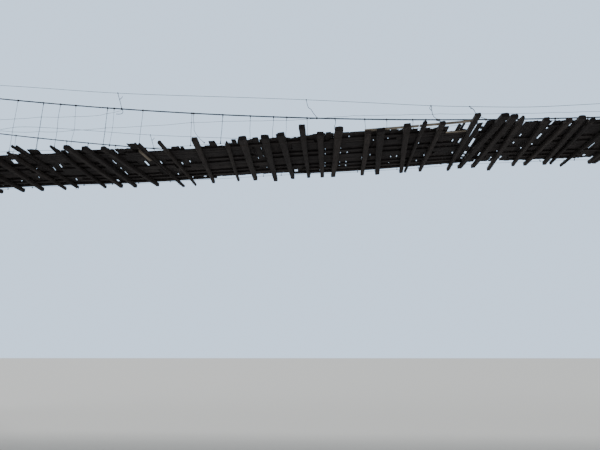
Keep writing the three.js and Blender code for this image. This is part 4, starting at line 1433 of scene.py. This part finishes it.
for side, side_sign, bank, bank_sign in QUARTERS:
    y, cable_y = side_sign * NET_Y, side_sign * CABLE_SPREAD
    measured = (side, bank) == ("near", "left")  # the other three are like it
    lines = []
    for distance in HANGERS:
        x = bank_sign * (distance + (0 if measured else chance.uniform(-HANGER_STRAY, HANGER_STRAY)))
        top = on_cable(x, cable_y)
        foot_x = x + chance.uniform(-FOOT_STRAY, FOOT_STRAY)
        bottom = Vector((foot_x, y, edge_rope_height(foot_x, y)))
        bend = STRONG_BEND if distance in BENT_HANGERS else HANGER_BEND
        points = [top]
        for share in BEND_PLACES:
            aside = Vector((chance.uniform(-bend, bend), chance.uniform(-1, 1) * BEND_ACROSS, 0))
            points.append(top.lerp(bottom, share) + aside)
        points.append(bottom)
        hanging_wire(points, distance in THICK_HANGERS, lines)
        for stations in (SIDE_WIRE, UPPER_SIDE_WIRE):
            crossing = straight(stations, distance)
            if crossing and crossing[0] < top.z:
                tie = Vector((x, y, crossing[0]))
                lines.append((winding(tie, CROSSING_SLANT, *CROSSING_TIE, steps=6), TIE_WIRE))
    if measured:
        for wire in EXTRA_WIRES:
            spread = [cable_y + (y - cable_y) * i / len(wire) for i in range(len(wire))]
            points = [Vector((x, across, z)) for (x, z), across in zip(wire, spread)]
            hanging_wire(points, False, lines)
    for stations in (SIDE_WIRE, UPPER_SIDE_WIRE):
        first = stations[0][0]
        start = first or MIDDLE_GAP
        ties = sorted({x for x, _ in stations} | {x for x in HANGERS if first < x < DECK_HALF_LENGTH})
        last = ties[-1]
        points = []
        for x0, x1 in zip(ties, ties[1:]):
            z0, z1 = straight(stations, x0)[0], straight(stations, x1)[0]
            stray = chance.uniform(-WIRE_STRAY, WIRE_STRAY)
            points.append(Vector((bank_sign * max(x0, start), y, z0 + stray)))
            sag = SAG * (x1 - x0)
            points.append(Vector((bank_sign * (x0 + x1) / 2, y, (z0 + z1) / 2 - sag)))
        points.append(Vector((bank_sign * (last - END_FROM_TIE), y, stations[-1][1])))
        lines.append((points, SIDE_WIRE_RADIUS))
        if stations is UPPER_SIDE_WIRE:
            x = bank_sign * start
            radius, pitch = CABLE_TIE
            tie = winding(on_cable(x, cable_y), cable_way(x), radius, UPPER_TIE_TURNS, pitch)
            lines.append((tie, UPPER_TIE_WIRE))
        centre = Vector((bank_sign * (last - EYE_FROM_TIE), y, stations[-1][1]))
        ring = [centre + Vector((math.cos(a), math.sin(a), 0)) * WIRE_EYE for a in angles(12)]
        lines.append((ring, WIRE_EYE_ROD))
    rope_line = []
    for i in range(ROPE_STEPS + 1):
        run = DECK_HALF_LENGTH + ROPE_PAST_DECK - MIDDLE_GAP
        x = bank_sign * (MIDDLE_GAP + run * i / ROPE_STEPS)
        rope_line.append(Vector((x, y, edge_rope_height(x, y))))
    lines += [(line, ROPE_STRAND) for line in laid(rope_line, 2, *ROPE_LAY)]
    for beam in beams:
        x, reach = beam_x(beam, y), beam[2] if side == "near" else beam[3]
        if x * bank_sign <= 0 or reach < NET_Y + LEAST_TIP:
            continue
        half = beam_width(beam, y) / 2 + LASHING_ROOM
        rim = (  # up over the edge rope, and down round the beam
            (-half, 0.01 - BEAM_DEPTH), (-half, -0.012), (-0.014, 0.021), (0.014, 0.021),
            (half, -0.012), (half, 0.01 - BEAM_DEPTH), (half - 0.02, -BEAM_DEPTH - 0.004),
            (0.02 - half, -BEAM_DEPTH - 0.004),
        )
        lashing = []
        for turn in range(2):
            for i, (dx, dz) in enumerate(rim):
                turn_y = y + (turn + i / len(rim) - 1) * LASHING_PITCH
                lashing.append(Vector((x + dx, turn_y, deck_top(x + dx, y) + BEAM_TOP + dz)))
        lines.append((lashing, LASHING_WIRE))
    node = f"side_net_{side}_{bank}"
    finished_piece(node + "_wires", round_wires(lines, 0), [wire_finish], "thin_wire", node)

# Guide wires: a single wire above each main cable, carried on hooks that are bent from
# thick wire and wound round the cable.
GUIDE_WIRE = (  # distance from mid-span, and height
    (0, 1.91), (1.4, 1.95), (2.5, 2.0), (4.4, 2.145), (5.83, 2.25), (7.4, 2.35), (11.0, 2.57),
    (14.2, 2.875), (15.5, 2.94), (16.2, 2.82),
)
GUIDE_RADIUS = 0.0055
GUIDE_STEPS = 100
GUIDE_END = 16.2
GUIDE_TURNS_DOWN = 16.24
GUIDE_FOOT = 16.3
GUIDE_TURNS = 4.25
HOOK_RADIUS = 0.0075
# radius, turns and pitch of a hook's wire, and the angle at which the last one starts
HOOK_EYE = (GUIDE_RADIUS + HOOK_RADIUS, 1.5, 0.011)
HOOK_COIL = (CABLE_RADIUS + HOOK_RADIUS + 0.0005, 2.25, 0.011, 1.2)
# points (x, z) of each hook of the left half, from the guide wire down to the cable; the last
# one, next to mid-span, has no like on the right
HOOKS = (
    ((-10.99, 2.57), (-10.96, 2.467), (-10.93, 2.39), (-10.87, 2.2), (-10.84, 2.1)),
    ((-5.84, 2.25), (-5.81, 2.1), (-5.775, 2.0), (-5.72, 1.98), (-5.67, 1.88), (-5.56, 1.73)),
    ((-2.55, 2.003), (-2.535, 1.96), (-2.54, 1.88), (-2.52, 1.705), (-2.42, 1.6)),
    ((-1.55, 1.955), (-1.44, 1.86), (-1.41, 1.75), (-1.36, 1.69), (-1.28, 1.64), (-1.16, 1.58)),
)
HOOK_ENDS = (  # points (x, z) of the hooks' second prongs and loose ends
    ((-10.85, 2.465), (-10.875, 2.42), (-10.925, 2.375)),
    ((-10.82, 2.075), (-10.79, 1.97), (-10.87, 1.935), (-10.98, 1.944)),
    ((-2.55, 1.99), (-2.59, 1.95), (-2.58, 1.9), (-2.542, 1.865)),
    ((-2.42, 1.575), (-2.38, 1.565), (-2.33, 1.555)),
    ((-1.44, 1.86), (-1.49, 1.9), (-1.535, 1.9)),
)


def hook_wire(points, y, mirror, lines):
    """A bent wire with a small eye round the guide wire and turns round the cable."""
    path = [Vector((mirror * x, y, z)) for x, z in points]
    foot_x = path[-1].x
    foot = on_cable(foot_x, y)
    path[-1] = foot + Vector((0, 0, CABLE_RADIUS))
    eye = winding(path[0], Vector((1, 0, 0)), *HOOK_EYE)
    coil = winding(foot, cable_way(foot_x), *HOOK_COIL)
    lines += [(bend, HOOK_RADIUS) for bend in (eased(path, 1), eye, coil)]


for side, side_sign in SIDES:
    y = side_sign * CABLE_SPREAD
    lines = []
    stations = [(-x, z) for x, z in GUIDE_WIRE[:0:-1]] + list(GUIDE_WIRE)
    spots = [-DECK_HALF_LENGTH + 2 * DECK_HALF_LENGTH * i / GUIDE_STEPS for i in range(GUIDE_STEPS + 1)]
    line = [Vector((x, y, along(stations, x))) for x in spots if abs(x) < GUIDE_END]
    for _, bank_sign in BANKS:
        end = Vector((bank_sign * GUIDE_END, y, GUIDE_WIRE[-1][1]))
        lower_z = cable_height(GUIDE_TURNS_DOWN) + CABLE_RADIUS + 0.03
        lower = Vector((bank_sign * GUIDE_TURNS_DOWN, y, lower_z))
        foot = on_cable(bank_sign * GUIDE_FOOT, y)
        tail = [end, lower, foot + Vector((0, 0, CABLE_RADIUS + 0.003))]
        line = tail[::-1] + line if bank_sign < 0 else line + tail
        radius, pitch = CABLE_TIE
        lines.append((winding(foot, cable_way(foot.x), radius, GUIDE_TURNS, pitch), GUIDE_RADIUS))
        last = None if bank_sign < 0 else -1
        for points in HOOKS[:last]:
            hook_wire(points, y, -bank_sign, lines)
        for points in HOOK_ENDS[:last]:
            prong = [Vector((-bank_sign * x, y, z)) for x, z in points]
            lines.append((eased(prong, 1), HOOK_RADIUS))
    lines.append((line, GUIDE_RADIUS))
    node = "guide_wire_" + side
    finished_piece(node + "_wires", round_wires(lines, 1), [wire_finish], "thin_wire", node)
